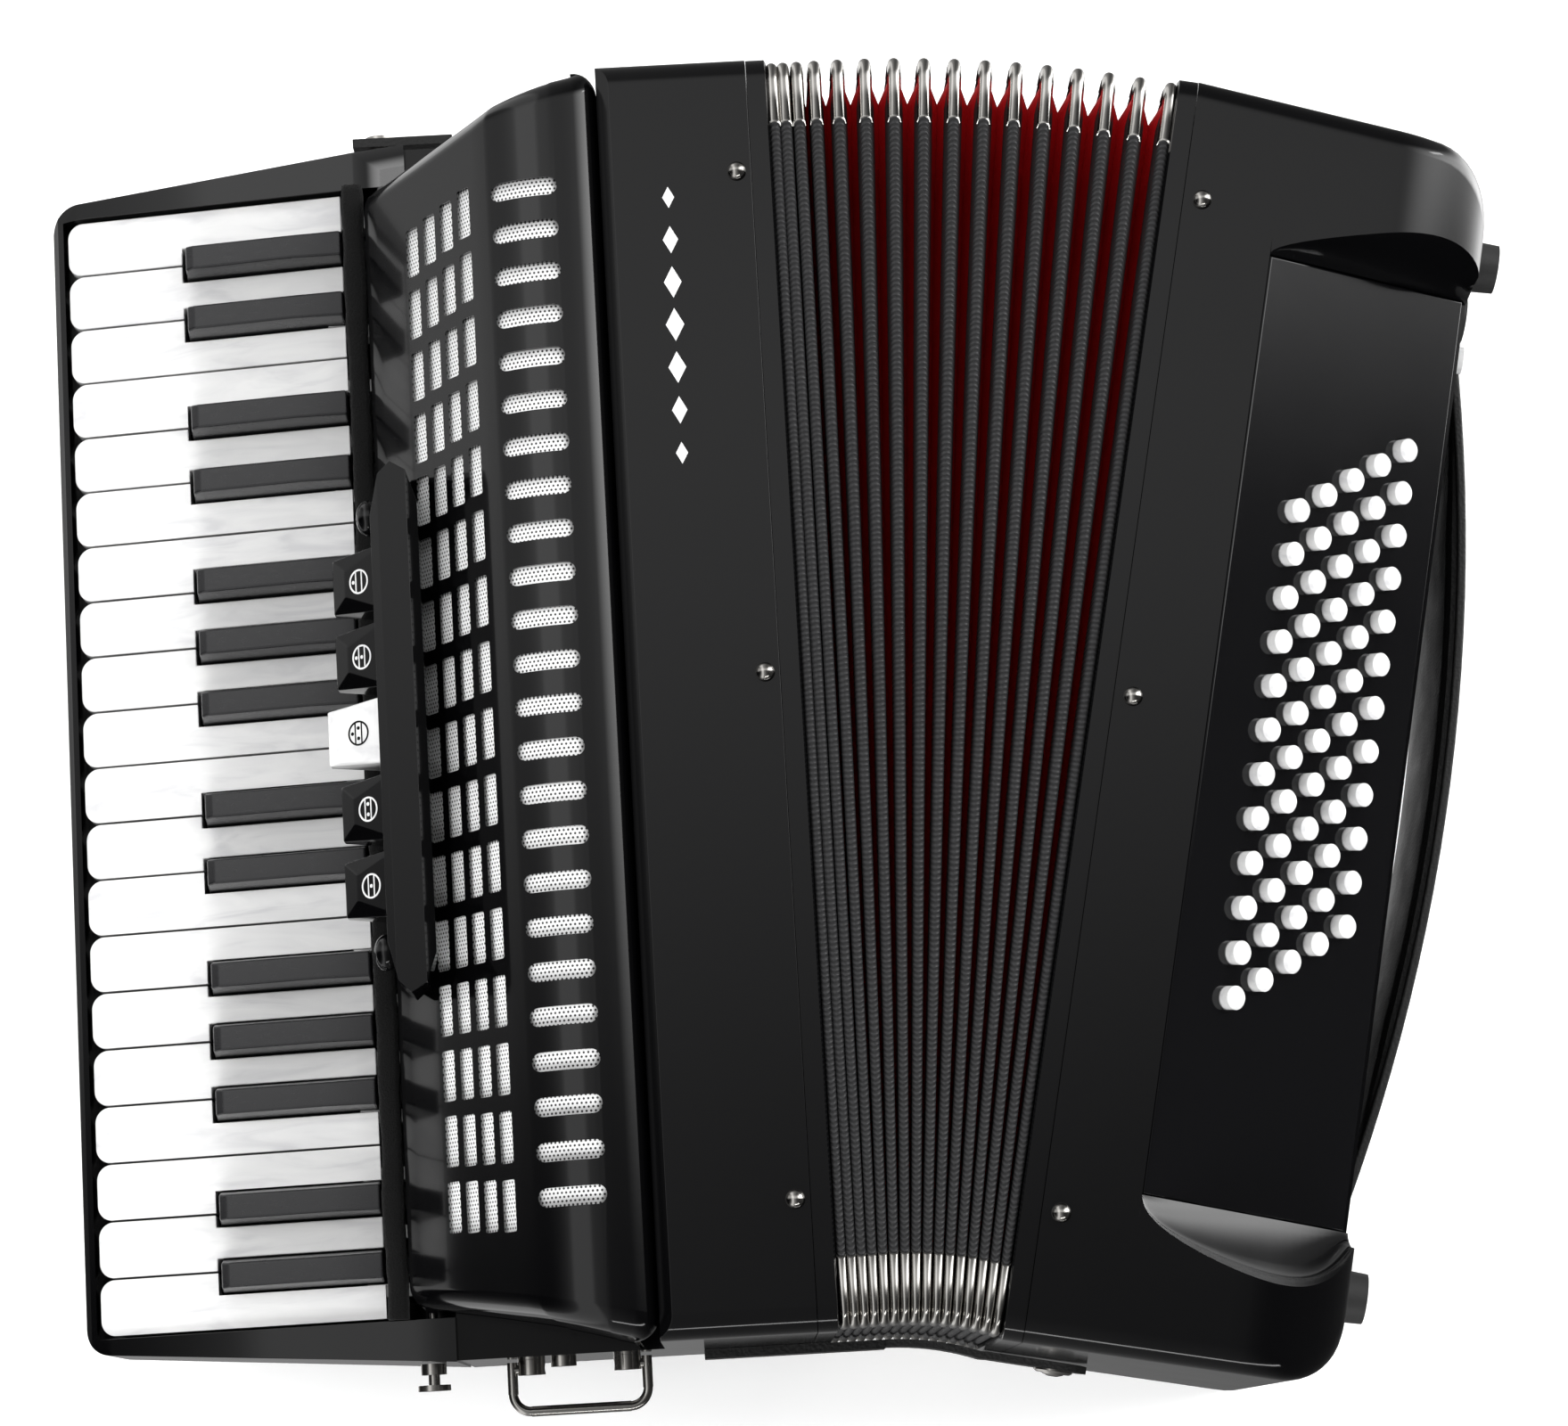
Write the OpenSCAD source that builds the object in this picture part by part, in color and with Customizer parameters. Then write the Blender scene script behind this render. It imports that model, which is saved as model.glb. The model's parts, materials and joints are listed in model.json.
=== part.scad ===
// Piano accordion, lying on its back: X runs from the keyboard to the bass end,
// Y runs along the keyboard towards the low notes, Z points out of the front.
// The origin is the middle of the treble casing's back. The modules draw with X measured
// from the playing ends of the keys, and in_frame() moves each piece to the origin.

/* [Keyboard] */
// Number of white keys
white_count = 20; // [20:20]
// Spacing of the white keys
key_pitch = 19; // [18.5:0.1:20]
// Gap between neighbouring keys
key_gap = 0.7; // [0.5:0.1:1]
// Playing length of a white key
white_len = 95.5; // [90:0.5:96]
// Playing length of a black key
black_len = 54.5; // [50:0.5:56]
// Width of a black key at its foot
black_w = 10.4; // [9:0.1:11]
// Height of a black key above the white ones
black_rise = 10; // [8:0.5:12]
// Height of the white keys' top at their playing end
key_z = 82; // [80:0.5:84]
// Slope of the keyboard, degrees
key_slope = 10.5; // [9:0.5:12]
// Thickness of a white key
key_thick = 11; // [9:0.5:12]
// Radius of the key axle
axle_r = 1.6; // [1.2:0.1:2]

/* [Treble casing] */
// Depth of the casings, back to front
body_d = 185; // [180:1:190]
// Height of the casings along the keyboard
body_h = 409; // [405:1:412]
// Wall thickness of the wooden casings
wall = 6; // [4:0.5:8]
// Place of the casing's front block, from the keys' ends
block_x = 183.5; // [180:0.5:186]
// Place of the casing's edge at the bellows
edge_x = 232; // [230:0.5:234]

/* [Grille] */
// Thickness of the grille cover
grille_t = 2.4; // [2:0.1:3]
// Number of rounded slots along the grille
slot_count = 24; // [20:1:24]
// Spacing of the rounded slots
slot_pitch = 14.04; // [13:0.1:14.2]
// Number of rows of small slots on the slope
dash_rows = 16; // [12:1:16]
// Spacing of those rows
dash_pitch = 21; // [20:0.1:21.2]

/* [Registers] */
// Number of register switches
register_count = 5; // [3:2:5]
// Spacing of the register switches
register_pitch = 25; // [24.5:0.5:26]

/* [Bellows] */
// Number of pleats
pleats = 16; // [12:1:18]
// Thickness of the closed bellows
closed_w = 49; // [46:1:60]
// How far the bellows is fanned open as it lies, degrees
fan = 11.8; // [5:0.1:14]
// Depth of a pleat
pleat_d = 25; // [20:1:28]

/* [Bass side] */
// Width of the bass casing
bass_w = 101; // [98:1:104]
// Height of the slanted panel's outer edge above the back
panel_low = 132; // [128:1:140]
// Number of button columns along the casing
button_cols = 12; // [10:1:12]
// Spacing of the columns
button_pitch = 14.4; // [14:0.1:14.6]
// Radius of a bass button
button_r = 3.8; // [3.4:0.05:3.9]
// Travel of a bass button
button_travel = 3.5; // [3:0.5:4]

/* [Hidden] */
$fn = 48;
eps = 0.01;
origin_x = 174;
half_h = body_h / 2;
slope = tan(key_slope);
keys_half = white_count * key_pitch / 2;
white_x0 = -2;
keys_end = white_x0 + white_len;
black_x0 = keys_end - black_len;
axle = [108, 92];
bore_r = axle_r + 0.05;
hub_r = 5;
hub_w = 6;
// a white key's shank is narrower, to pass between the black keys
white_shank_w = 4.2;
pallet = [24, 10, 4.5];
white_pallet_x = 124;
black_pallet_x = 152;
bed_x0 = -7.5;
bed_x1 = 116;
bed_half0 = 196;
bed_half1 = 205;
bed_z0 = 30;
deck_z = 100;
// white keys with a black key between them and the next one, counted from the low G
black_after = [1, 2, 4, 5, 7, 8, 9, 11, 12, 14, 15, 16, 18, 19];
// how far each black key stands off the gap below it
black_shift = [0, -2, 1.6, -1.6, 2, 0, -2, 1.6, -1.6, 2, 0, -2, 1.6, -1.6];
// grille outline, from the keyboard up the slope, over the round ridge to the front block
ridge_r = 37;
ridge = [170, body_d - 1 - ridge_r];
grille_profile = concat(
    [[102, 112]],
    [for (a = [130 : -8 : 90]) ridge + ridge_r * [cos(a), sin(a)]],
    [[176, 183.2], [180, 181.2], [block_x - 0.1, 177]]
);
slot_x = [147.9, 169.5];
slot_r = 2.9;
dash = [4.2, 16.3];
dash_x = 117.4;
dash_step = 6.25;
pivot = [262.7, -206.9];
pin_shank_r = 1.5;
pin_head_r = 3.1;
pin_hole_r = pin_shank_r + 0.05;
treble_pins = [[227.4, -163.5], [227.4, 2], [227.4, 165.5]];
bass_pin_places = [[6, -163.6], [6, 0], [6, 163.6]];
stud = [107, 84];
ring_y = -half_h - 3.05;
ring_z = 60;
ring_x = [131.5, 176.5];
ring_posts = [138, 170];
wire_r = 1.6;
frame_w = 7;
pleat_pitch = closed_w / pleats;
bass_x0 = edge_x + frame_w + closed_w + frame_w;
panel_u0 = 30;
panel_u1 = bass_w - 1;
// the panel's edges in V, at its inner and at its outer end
panel_v0 = [-154, 149];
panel_v1 = [-152.5, 158];
panel_t = 3;
panel_tilt = atan((body_d - 1 - panel_low) / (panel_u1 - panel_u0));
panel_len = (panel_u1 - panel_u0) / cos(panel_tilt);
row_step = 10.8;
row_first = 24.6;
row_stagger = 7.8;
row_middle = 6.8;
button_h = button_travel + 1;
strap_r = 672.5;
foot_v = [-171, 180];
air_v = 147;
air_z = 99;
register_y0 = -3;
register_axis = [107, 139];
register_w = register_pitch - 2;
rail_half = register_pitch * register_count / 2 + 24;

WHITE = ["white_key_01", "white_key_02", "white_key_03", "white_key_04", "white_key_05",
    "white_key_06", "white_key_07", "white_key_08", "white_key_09", "white_key_10",
    "white_key_11", "white_key_12", "white_key_13", "white_key_14", "white_key_15",
    "white_key_16", "white_key_17", "white_key_18", "white_key_19", "white_key_20"];
BLACK = ["black_key_01", "black_key_02", "black_key_03", "black_key_04", "black_key_05",
    "black_key_06", "black_key_07", "black_key_08", "black_key_09", "black_key_10",
    "black_key_11", "black_key_12", "black_key_13", "black_key_14"];
REGISTERS = ["register_switch_1", "register_switch_2", "register_switch_3",
    "register_switch_4", "register_switch_5"];

function key_y(i) = keys_half - key_pitch * (i - 0.5);
function gap_y(i) = keys_half - key_pitch * i;
function top_z(x) = key_z + slope * x;
function is_black(i) = len(search(i, black_after)) > 0;
function shift_of(i) = black_shift[search(i, black_after)[0]];
// share of the fan that pleat k has taken: the first pleats stay nearly shut
function soft(s) = (s - 0.2 + sqrt(pow(s - 0.2, 2) + 0.0144)) / 2;
function share(k) = (soft(k / (pleats - 1)) - soft(0)) / (soft(1) - soft(0));

// moves a piece from the keyboard's measure to the part's own origin
module in_frame() {
    translate([-origin_x, 0, 0]) children();
}
// extrudes an outline drawn in X and Z along Y, between y0 and y1
module along_y(y0, y1) {
    translate([0, y1, 0]) rotate([90, 0, 0]) linear_extrude(y1 - y0) children();
}
// extrudes an outline drawn in Y and Z along X, between x0 and x1
module along_x(x0, x1) {
    translate([x0, 0, 0]) rotate([90, 0, 90]) linear_extrude(x1 - x0) children();
}
module soft_square(p, q, r) {
    for (x = [p[0] + r, q[0] - r], y = [p[1] + r, q[1] - r]) translate([x, y]) circle(r);
    translate([p[0] + r, p[1]]) square([q[0] - p[0] - 2 * r, q[1] - p[1]]);
    translate([p[0], p[1] + r]) square([q[0] - p[0], q[1] - p[1] - 2 * r]);
}
// turns a piece about the fan's pivot by a share of the fan angle
module fanned(part) {
    translate(pivot) rotate([0, 0, -fan * part]) translate(-pivot) children();
}
// places a piece of the bass side: U runs outwards from the bellows frame
module bass_place() {
    fanned(1) translate([bass_x0, 0, 0]) children();
}
// places a piece on the slanted button panel: X down the slope, Z out of it
module on_panel() {
    bass_place() translate([panel_u0, 0, body_d - 1]) rotate([0, panel_tilt, 0]) children();
}

// a round bar along Y, centred on a point of the X and Z plane
module bar_y(place, y, r, length) {
    translate([place[0], y, place[1]]) rotate([90, 0, 0]) cylinder(r = r, h = length, center = true);
}
// the hidden tail of a key: shank, hub on the axle, arm and pallet
module key_tail(y, shank_w, arm_y, arm_w, pallet_x) {
    along_y(y - shank_w / 2, y + shank_w / 2) polygon([[keys_end - 6, 88], [axle[0], 87.2],
        [axle[0], 97], [keys_end - 6, 98]]);
    bar_y(axle, y, hub_r, hub_w);
    along_y(arm_y - arm_w / 2, arm_y + arm_w / 2)
        polygon([[axle[0], 90], [axle[0] + 6, 95.5], [axle[0] + 10, 105], [pallet_x + 12, 105],
            [pallet_x + 12, 108.5], [axle[0] + 9, 108.5], [axle[0], 96.8]]);
    translate([pallet_x, arm_y - pallet[1] / 2, deck_z + 1]) cube(pallet);
}
module white_plate(i) {
    y = key_y(i);
    w = key_pitch - key_gap;
    r = 5;
    x1 = keys_end;
    translate([0, 0, 40]) linear_extrude(80) difference() {
        union() {
            translate([white_x0 + r, y - w / 2]) square([x1 - white_x0 - r, w]);
            translate([white_x0, y - w / 2 + r]) square([r + eps, w - 2 * r]);
            for (s = [-1, 1]) translate([white_x0 + r, y + s * (w / 2 - r)]) circle(r);
        }
        if (is_black(i))
            translate([black_x0 - 1, gap_y(i) + shift_of(i) - black_w / 2 - 0.8])
                square([80, black_w + 1.6]);
        if (is_black(i - 1))
            translate([black_x0 - 1, gap_y(i - 1) + shift_of(i - 1) - black_w / 2 - 0.8])
                square([80, black_w + 1.6]);
    }
}
module white_key(i) {
    y = key_y(i);
    color("ivory") difference() {
        union() {
            intersection() {
                white_plate(i);
                along_y(y - 12, y + 12) polygon([[white_x0, top_z(white_x0) - key_thick],
                    [keys_end, top_z(keys_end) - key_thick], [keys_end, top_z(keys_end)],
                    [3, top_z(3)], [white_x0, top_z(white_x0) - 1.4]]);
            }
            key_tail(y, white_shank_w, y, 3, white_pallet_x);
        }
        bar_y(axle, y, bore_r, 2 * hub_w);
    }
}
module black_key(n) {
    y = gap_y(black_after[n - 1]) + black_shift[n - 1];
    foot = key_thick - 2;
    color("black") difference() {
        union() {
            intersection() {
                along_y(y - 8, y + 8) polygon([[black_x0, top_z(black_x0) - foot],
                    [keys_end, top_z(keys_end) - foot], [keys_end, top_z(keys_end) + 8.5],
                    [keys_end - 17, top_z(keys_end - 17) + black_rise],
                    [black_x0 + 3.4, top_z(black_x0) + black_rise],
                    [black_x0 + 1, top_z(black_x0) + black_rise - 2]]);
                multmatrix([[1, 0, 0, 0], [0, 1, 0, y], [slope, 0, 1, key_z], [0, 0, 0, 1]])
                    along_x(black_x0, keys_end) polygon([[-black_w / 2, -20], [black_w / 2, -20],
                        [black_w / 2, 2], [3.4, black_rise + 3], [-3.4, black_rise + 3],
                        [-black_w / 2, 2]]);
            }
            key_tail(y, hub_w, gap_y(black_after[n - 1]), 2.6, black_pallet_x);
        }
        bar_y(axle, y, bore_r, 2 * hub_w);
    }
}

module register_switch(i) {
    y = register_y0 + register_pitch * ((register_count + 1) / 2 - i);
    w = register_w;
    middle = i == (register_count + 1) / 2;
    x0 = middle ? 84 : 87.5;
    x1 = register_axis[0] + 1.5;
    color(middle ? "ivory" : "black") difference() {
        intersection() {
            along_y(y - w / 2, y + w / 2) polygon([[x0, 130], [x0 + 2, 125.5], [x1 - 4.5, 130],
                [x1, 136], [x1, 145], [103, 148.5], [x0 + 5, 137], [x0 + 1, 133.5]]);
            translate([0, y, 0]) linear_extrude(200) polygon([[x0 - 1, -w / 2 + 4], [x0 + 4, -w / 2],
                [112, -w / 2], [112, w / 2], [x0 + 4, w / 2], [x0 - 1, w / 2 - 4]]);
        }
        bar_y(register_axis, y, 1.05, w + 4);
    }
}
// the bar over the switches, with their axle and the rest that they stop on
module register_rail() {
    inner = rail_half - 22;
    long = rail_half;
    color("black") {
        difference() {
            intersection() {
                translate([0, register_y0, 100]) linear_extrude(60)
                    polygon([[102.8, -long + 17], [106, -long + 4], [110, -long], [115, -long + 3],
                        [118.2, -long + 13], [118.2, long - 13], [115, long - 3], [110, long],
                        [106, long - 4], [102.8, long - 17]]);
                along_y(-long + register_y0, long + register_y0)
                    polygon([[102.8, 122], [105, 120], [116.8, 141], [118.2, 144], [118.2, 151],
                        [115, 155], [105.5, 155], [102.8, 152]]);
            }
            translate([95, register_y0 - inner, 110]) cube([15, 2 * inner, 39.6]);
        }
        bar_y(register_axis, register_y0, 1, 2 * inner + 2);
        translate([109.4, register_y0 - inner - 1, register_axis[1] - 4])
            cube([6, 2 * inner + 2, 6]);
    }
}

module keyboard_bed() {
    outline = [[bed_x0 + 9, -bed_half0], [bed_x1, -bed_half1], [bed_x1, bed_half1],
        [bed_x0 + 9, bed_half0]];
    color("black") difference() {
        intersection() {
            translate([0, 0, bed_z0]) linear_extrude(100) union() {
                polygon(outline);
                translate([bed_x0, -bed_half0 + 9]) square([12, 2 * bed_half0 - 18]);
                for (s = [-1, 1]) translate([bed_x0 + 9, s * (bed_half0 - 9)]) circle(9);
            }
            along_y(-bed_half1, bed_half1) polygon([[bed_x0, bed_z0 + 4], [bed_x0 + 4, bed_z0],
                [bed_x1, bed_z0], [bed_x1, 105], [98, 103], [2, top_z(2) + 2], [bed_x0 + 2, 79],
                [bed_x0, 76]]);
        }
        translate([bed_x0 + 4, -keys_half - 0.6, 64]) cube([200, 2 * keys_half + 1.2, 60]);
        bar_y(axle, 0, axle_r + 0.02, 2 * keys_half + 12);
    }
}
module key_axle() {
    color("silver") bar_y(axle, 0, axle_r, 2 * keys_half + 10);
}
module key_felt() {
    color("black") translate([keys_end + 0.7, -keys_half - 0.4, 101.5])
        cube([7.6, 2 * keys_half + 0.8, 8.5]);
}

module treble_outline() {
    polygon([[bed_x1, 0], [edge_x, 0], [edge_x, body_d], [block_x + 4, body_d],
        [block_x, body_d - 4], [block_x, deck_z], [bed_x1, deck_z]]);
}
module treble_casing() {
    color("black") difference() {
        intersection() {
            along_y(-half_h, half_h) treble_outline();
            along_x(bed_x1, edge_x) soft_square([-half_h, 0], [half_h, body_d], 8);
        }
        along_y(-half_h + wall, half_h - wall) polygon([[bed_x1 + wall, wall],
            [edge_x + 1, wall], [edge_x + 1, body_d - wall], [block_x + wall, body_d - wall],
            [block_x + wall, deck_z - wall], [bed_x1 + wall, deck_z - wall]]);
        for (i = [1 : white_count]) translate([127, key_y(i) - 3.5, deck_z - wall - 1])
            cube([18, 7, wall + 2]);
        for (n = black_after) translate([155, gap_y(n) - 3.5, deck_z - wall - 1])
            cube([18, 7, wall + 2]);
        for (p = treble_pins) translate(p) pin_hole();
    }
}
module grille_plan(inset) {
    polygon([[101 + inset, -188 + inset], [146, -193 + inset], [158, -200 + inset],
        [170, -203.2 + inset], [block_x - 0.1, -204 + inset], [block_x - 0.1, 204 - inset],
        [170, 203.2 - inset], [158, 200 - inset], [146, 193 - inset], [101 + inset, 188 - inset]]);
}
// the grille's outline lowered by drop, closed down to the deck
module grille_section(drop) {
    polygon(concat([[102 + drop, deck_z + 5]],
        [for (p = grille_profile) [p[0] + drop * 0.85, p[1] - drop]],
        [[block_x - 0.1, deck_z + 5]]));
}
module grille_slots() {
    for (i = [0 : slot_count - 1]) translate([0, 3 + slot_pitch * ((slot_count - 1) / 2 - i)]) {
        translate([slot_x[0] + slot_r, -slot_r])
            square([slot_x[1] - slot_x[0] - 2 * slot_r, 2 * slot_r]);
        for (x = [slot_x[0] + slot_r, slot_x[1] - slot_r]) translate([x, 0]) circle(slot_r);
    }
    // the rows spread a little towards the ridge
    for (i = [0 : dash_rows - 1], c = [0 : 3])
        translate([dash_x + c * dash_step,
            (dash_pitch + 0.15 * c) * ((dash_rows - 1) / 2 - i) + 0.4 * c + 0.3 - dash[1] / 2])
            square(dash);
}
module treble_grille() {
    color("black") difference() {
        intersection() {
            translate([0, 0, deck_z + 5]) linear_extrude(100) grille_plan(0);
            along_y(-half_h, half_h) grille_section(0);
        }
        intersection() {
            translate([0, 0, deck_z]) linear_extrude(100) grille_plan(grille_t);
            translate([0, 0, -eps]) along_y(-half_h, half_h) union() {
                grille_section(grille_t);
                translate([102 + grille_t, deck_z]) square([80, 6]);
            }
        }
        translate([0, 0, deck_z + 10]) linear_extrude(100) grille_slots();
        translate([block_x - grille_t - 1, -203 + grille_t, deck_z]) cube([5, 406 - 2 * grille_t, 70]);
    }
}
module grille_screen() {
    color("silver") intersection() {
        translate([117, -184, deck_z]) cube([57, 368, 100]);
        along_y(-184, 184) difference() {
            grille_section(grille_t + 0.3);
            grille_section(grille_t + 1.1);
        }
    }
}
module treble_reed_blocks() {
    color("burlywood") for (x = [128, 156]) along_y(-182, 182)
        polygon([[x, 93.9], [x + 16, 93.9], [x + 12, 20], [x + 4, 20]]);
}
// a round-headed pin that holds the bellows frame in the casing
module bellows_pin() {
    translate([0, 0, body_d - 12]) cylinder(r = pin_shank_r, h = 12.1);
    translate([0, 0, body_d + 0.05]) rotate_extrude() intersection() {
        circle(pin_head_r);
        square(4);
    }
}
module pin_hole() {
    translate([0, 0, body_d - wall - 1]) cylinder(r = pin_hole_r, h = wall + 2);
}
module treble_pins_and_studs() {
    color("silver") {
        for (p = treble_pins) translate(p) bellows_pin();
        // studs that the strap tabs button on to
        for (side = [-1, 1]) translate([stud[0], side * (bed_half1 - 0.35), stud[1]])
            rotate([-90 * side, 0, 0]) {
                cylinder(r = 4.2, h = 3.6);
                cylinder(r = 1.9, h = 8.4);
                translate([0, 0, 7]) cylinder(r = 5.4, h = 1.9);
            }
        translate([150, -half_h - 0.05, 92]) rotate([90, 0, 0]) cylinder(r = 4.2, h = 3.5);
        for (x = ring_posts) translate([x, -half_h - 0.05, ring_z]) rotate([90, 0, 0]) difference() {
            cylinder(r = 4.6, h = 5);
            translate([0, 0, 3]) rotate([0, 90, 0])
                cylinder(r = wire_r + 0.05, h = 20, center = true);
        }
    }
}
// a wire ring: two pins in the posts, two legs, and a bow with round corners
module strap_ring() {
    y = ring_y;
    bend = 6;
    leg = 8;
    leg_r = wire_r + 0.15;
    color("silver") translate([0, 0, ring_z]) {
        for (x = [ring_x[0], ring_x[1] - 9]) translate([x, y, 0]) rotate([0, 90, 0])
            cylinder(r = wire_r, h = 9);
        for (x = ring_x) translate([x, y + 2.4, 0]) rotate([90, 0, 0])
            cylinder(r = leg_r, h = leg + 2.5);
        translate([ring_x[0] + bend, y - leg, 0]) rotate([0, 0, 180]) rotate_extrude(angle = 90)
            translate([bend, 0]) circle(wire_r);
        translate([ring_x[1] - bend, y - leg, 0]) rotate([0, 0, 270]) rotate_extrude(angle = 90)
            translate([bend, 0]) circle(wire_r);
        translate([ring_x[0] + bend - 0.1, y - leg - bend, 0]) rotate([0, 90, 0])
            cylinder(r = leg_r, h = ring_x[1] - ring_x[0] - 2 * bend + 0.2);
    }
}
module leather_straps() {
    color("black") {
        difference() {
            translate([98, bed_half1 + 3.4, 76]) cube([34, 3, 17]);
            translate([stud[0], bed_half1, stud[1]]) rotate([-90, 0, 0]) cylinder(r = 2.2, h = 9);
        }
        translate([196, -half_h - 3.2, 52]) cube([60, 3, 18]);
    }
}

module pleat_ring(out, inset) {
    difference() {
        soft_square([-out, 2], [out, body_d - 2], 9);
        soft_square([-out + inset, 2 + inset], [out - inset, body_d - 2 - inset], 4);
    }
}
module bellows_frame() {
    along_x(0, frame_w - 0.1) difference() {
        soft_square([-half_h, 0], [half_h, body_d - 0.5], 8);
        soft_square([-half_h + 14, 14], [half_h - 14, body_d - 14], 4);
    }
}
module bellows() {
    x0 = edge_x + frame_w;
    a = half_h - pleat_d + 3;
    color("black") {
        translate([edge_x + 0.05, 0, 0]) bellows_frame();
        fanned(1) translate([x0 + closed_w, 0, 0]) bellows_frame();
        for (k = [0 : pleats - 1]) fanned(share(k))
            along_x(x0 + pleat_pitch * (k + 0.12), x0 + pleat_pitch * (k + 0.88))
                pleat_ring(half_h - 1.5, pleat_d);
    }
    color("firebrick") difference() {
        liner(a, pleat_d - 2, body_d - pleat_d + 2, 0);
        liner(a - 6, pleat_d + 4, body_d - pleat_d - 4, 2);
    }
}
// the closed skin behind the pleats, between the two frames
module liner(a, z0, z1, over) {
    x0 = edge_x + 4 - over;
    x1 = edge_x + 2 * frame_w + closed_w - 4 + over;
    translate([0, 0, z0]) linear_extrude(z1 - z0) polygon([[x0, -a], turned([x1, -a]),
        turned([x1, a]), [x0, a]]);
}
function turned(p) = [
    pivot[0] + (p[0] - pivot[0]) * cos(fan) + (p[1] - pivot[1]) * sin(fan),
    pivot[1] - (p[0] - pivot[0]) * sin(fan) + (p[1] - pivot[1]) * cos(fan)
];

module bass_plan(inset) {
    r = 22;
    out = bass_w - inset;
    h0 = half_h - inset;
    low = -half_h + 0.5 + inset;
    high = half_h - 7.5 - inset;
    polygon([[0, -h0], [out - r, low], [out - r, high], [0, h0]]);
    translate([out - r - 1, low + r]) square([r + 1, high - low - 2 * r]);
    for (v = [low + r, high - r]) translate([out - r, v]) circle(r);
}
// the casing's outline seen along the keyboard, with its round front edge
module cheek_outline() {
    r = 34;
    polygon(concat([[0, 0], [bass_w - 10, 0], [bass_w, 10]],
        [for (a = [0 : 15 : 90]) [bass_w - r + r * cos(a), body_d - r + r * sin(a)]],
        [[0, body_d]]));
}
module bass_block() {
    intersection() {
        linear_extrude(200) bass_plan(0);
        along_x(0, bass_w) soft_square([-half_h, 0], [half_h, body_d], 8);
        along_y(-half_h, half_h) cheek_outline();
    }
}
module bass_casing() {
    color("black") bass_place() difference() {
        bass_block();
        // the recess that the button panel lies in
        intersection() {
            along_y(-half_h, half_h) polygon([[panel_u0, 250],
                slope_point(0, 0), slope_point(0.45, -panel_t - 0.02),
                slope_point(panel_len + 12, -panel_t - 0.02), [bass_w + 20, 250]]);
            linear_extrude(260) polygon([[panel_u0 - 5, panel_v0[0] - 0.6],
                [bass_w + 21, panel_v1[0] - 0.1], [bass_w + 21, panel_v1[1] + 3.2],
                [panel_u0 - 5, panel_v0[1] - 0.2]]);
        }
        // the hollow, open to the bellows
        intersection() {
            translate([-1, 0, 0]) linear_extrude(200) bass_plan(wall);
            along_y(-half_h, half_h) polygon([[-1, wall], [bass_w - wall, wall],
                [bass_w - wall, panel_low - 20], [panel_u0 + 2, body_d - 22],
                [panel_u0 - 6, body_d - wall], [-1, body_d - wall]]);
        }
        // one window under all the buttons
        on_panel_flat() translate([17, -112, -30]) cube([58, 236, 60]);
        translate([bass_w - 12, air_v, air_z]) rotate([0, 90, 0]) cylinder(r = 5.4, h = 30);
        for (p = bass_pin_places) translate(p) pin_hole();
    }
}
module on_panel_flat() {
    translate([panel_u0, 0, body_d - 1]) rotate([0, panel_tilt, 0]) children();
}
// a point of the U and Z plane, by its place down the panel and its height off it
function slope_point(x, z) = [panel_u0 + x * cos(panel_tilt) + z * sin(panel_tilt),
    body_d - 1 - x * sin(panel_tilt) + z * cos(panel_tilt)];
// row 1 is nearest the bellows, and column 1 is nearest the low notes
function button_at(row, col) = [row_first + row_step * (row - 1),
    row_middle + button_pitch * ((button_cols + 1) / 2 - col) + row_stagger * (row - 3)];
module bass_button_panel() {
    color("black") on_panel() difference() {
        translate([0, 0, -panel_t]) linear_extrude(panel_t) polygon([[0.5, panel_v0[0]],
            [panel_len - 0.5, panel_v1[0]], [panel_len - 0.5, panel_v1[1]], [0.5, panel_v0[1]]]);
        translate([0, 0, -panel_t - 1]) linear_extrude(panel_t + 2)
            for (row = [1 : 5], col = [1 : button_cols])
                translate(button_at(row, col)) circle(button_r + 0.45);
    }
}
module button_rows(rows) {
    color("white") on_panel() for (row = rows, col = [1 : button_cols])
        translate(button_at(row, col)) {
            translate([0, 0, -8]) cylinder(r = button_r, h = 8 + button_h - 1);
            translate([0, 0, button_h - 1 - eps]) cylinder(r1 = button_r, r2 = button_r - 0.9, h = 1);
        }
}
module bass_reed_blocks() {
    color("burlywood") bass_place() for (x = [14, 44]) along_y(-150, 150)
        polygon([[x, wall + 0.02], [x + 18, wall + 0.02], [x + 14, 70], [x + 4, 70]]);
}
module bass_pins() {
    color("silver") bass_place()
        for (p = bass_pin_places) translate(p) bellows_pin();
}
module bass_feet() {
    color("dimgray") bass_place() difference() {
        for (v = foot_v, z = [32, 100])
            translate([bass_w - 9, v, z]) rotate([0, 90, 0]) difference() {
                cylinder(r1 = 9.4, r2 = 8.2, h = 21);
                translate([0, 0, 18]) cylinder(r = 3, h = 4);
            }
        translate([0.02, 0, 0]) bass_block();
    }
}
module bass_strap() {
    color("black") bass_place() translate([0, 0, 12]) linear_extrude(80) intersection() {
        translate([121 - strap_r, 5]) difference() {
            circle(strap_r, $fn = 180);
            circle(strap_r - 3, $fn = 180);
        }
        translate([bass_w - 1, -145]) square([30, 300]);
    }
}
module air_button() {
    color("white") bass_place() translate([bass_w - 9, air_v, air_z]) rotate([0, 90, 0])
        cylinder(r = 4.6, h = 14);
}

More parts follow.
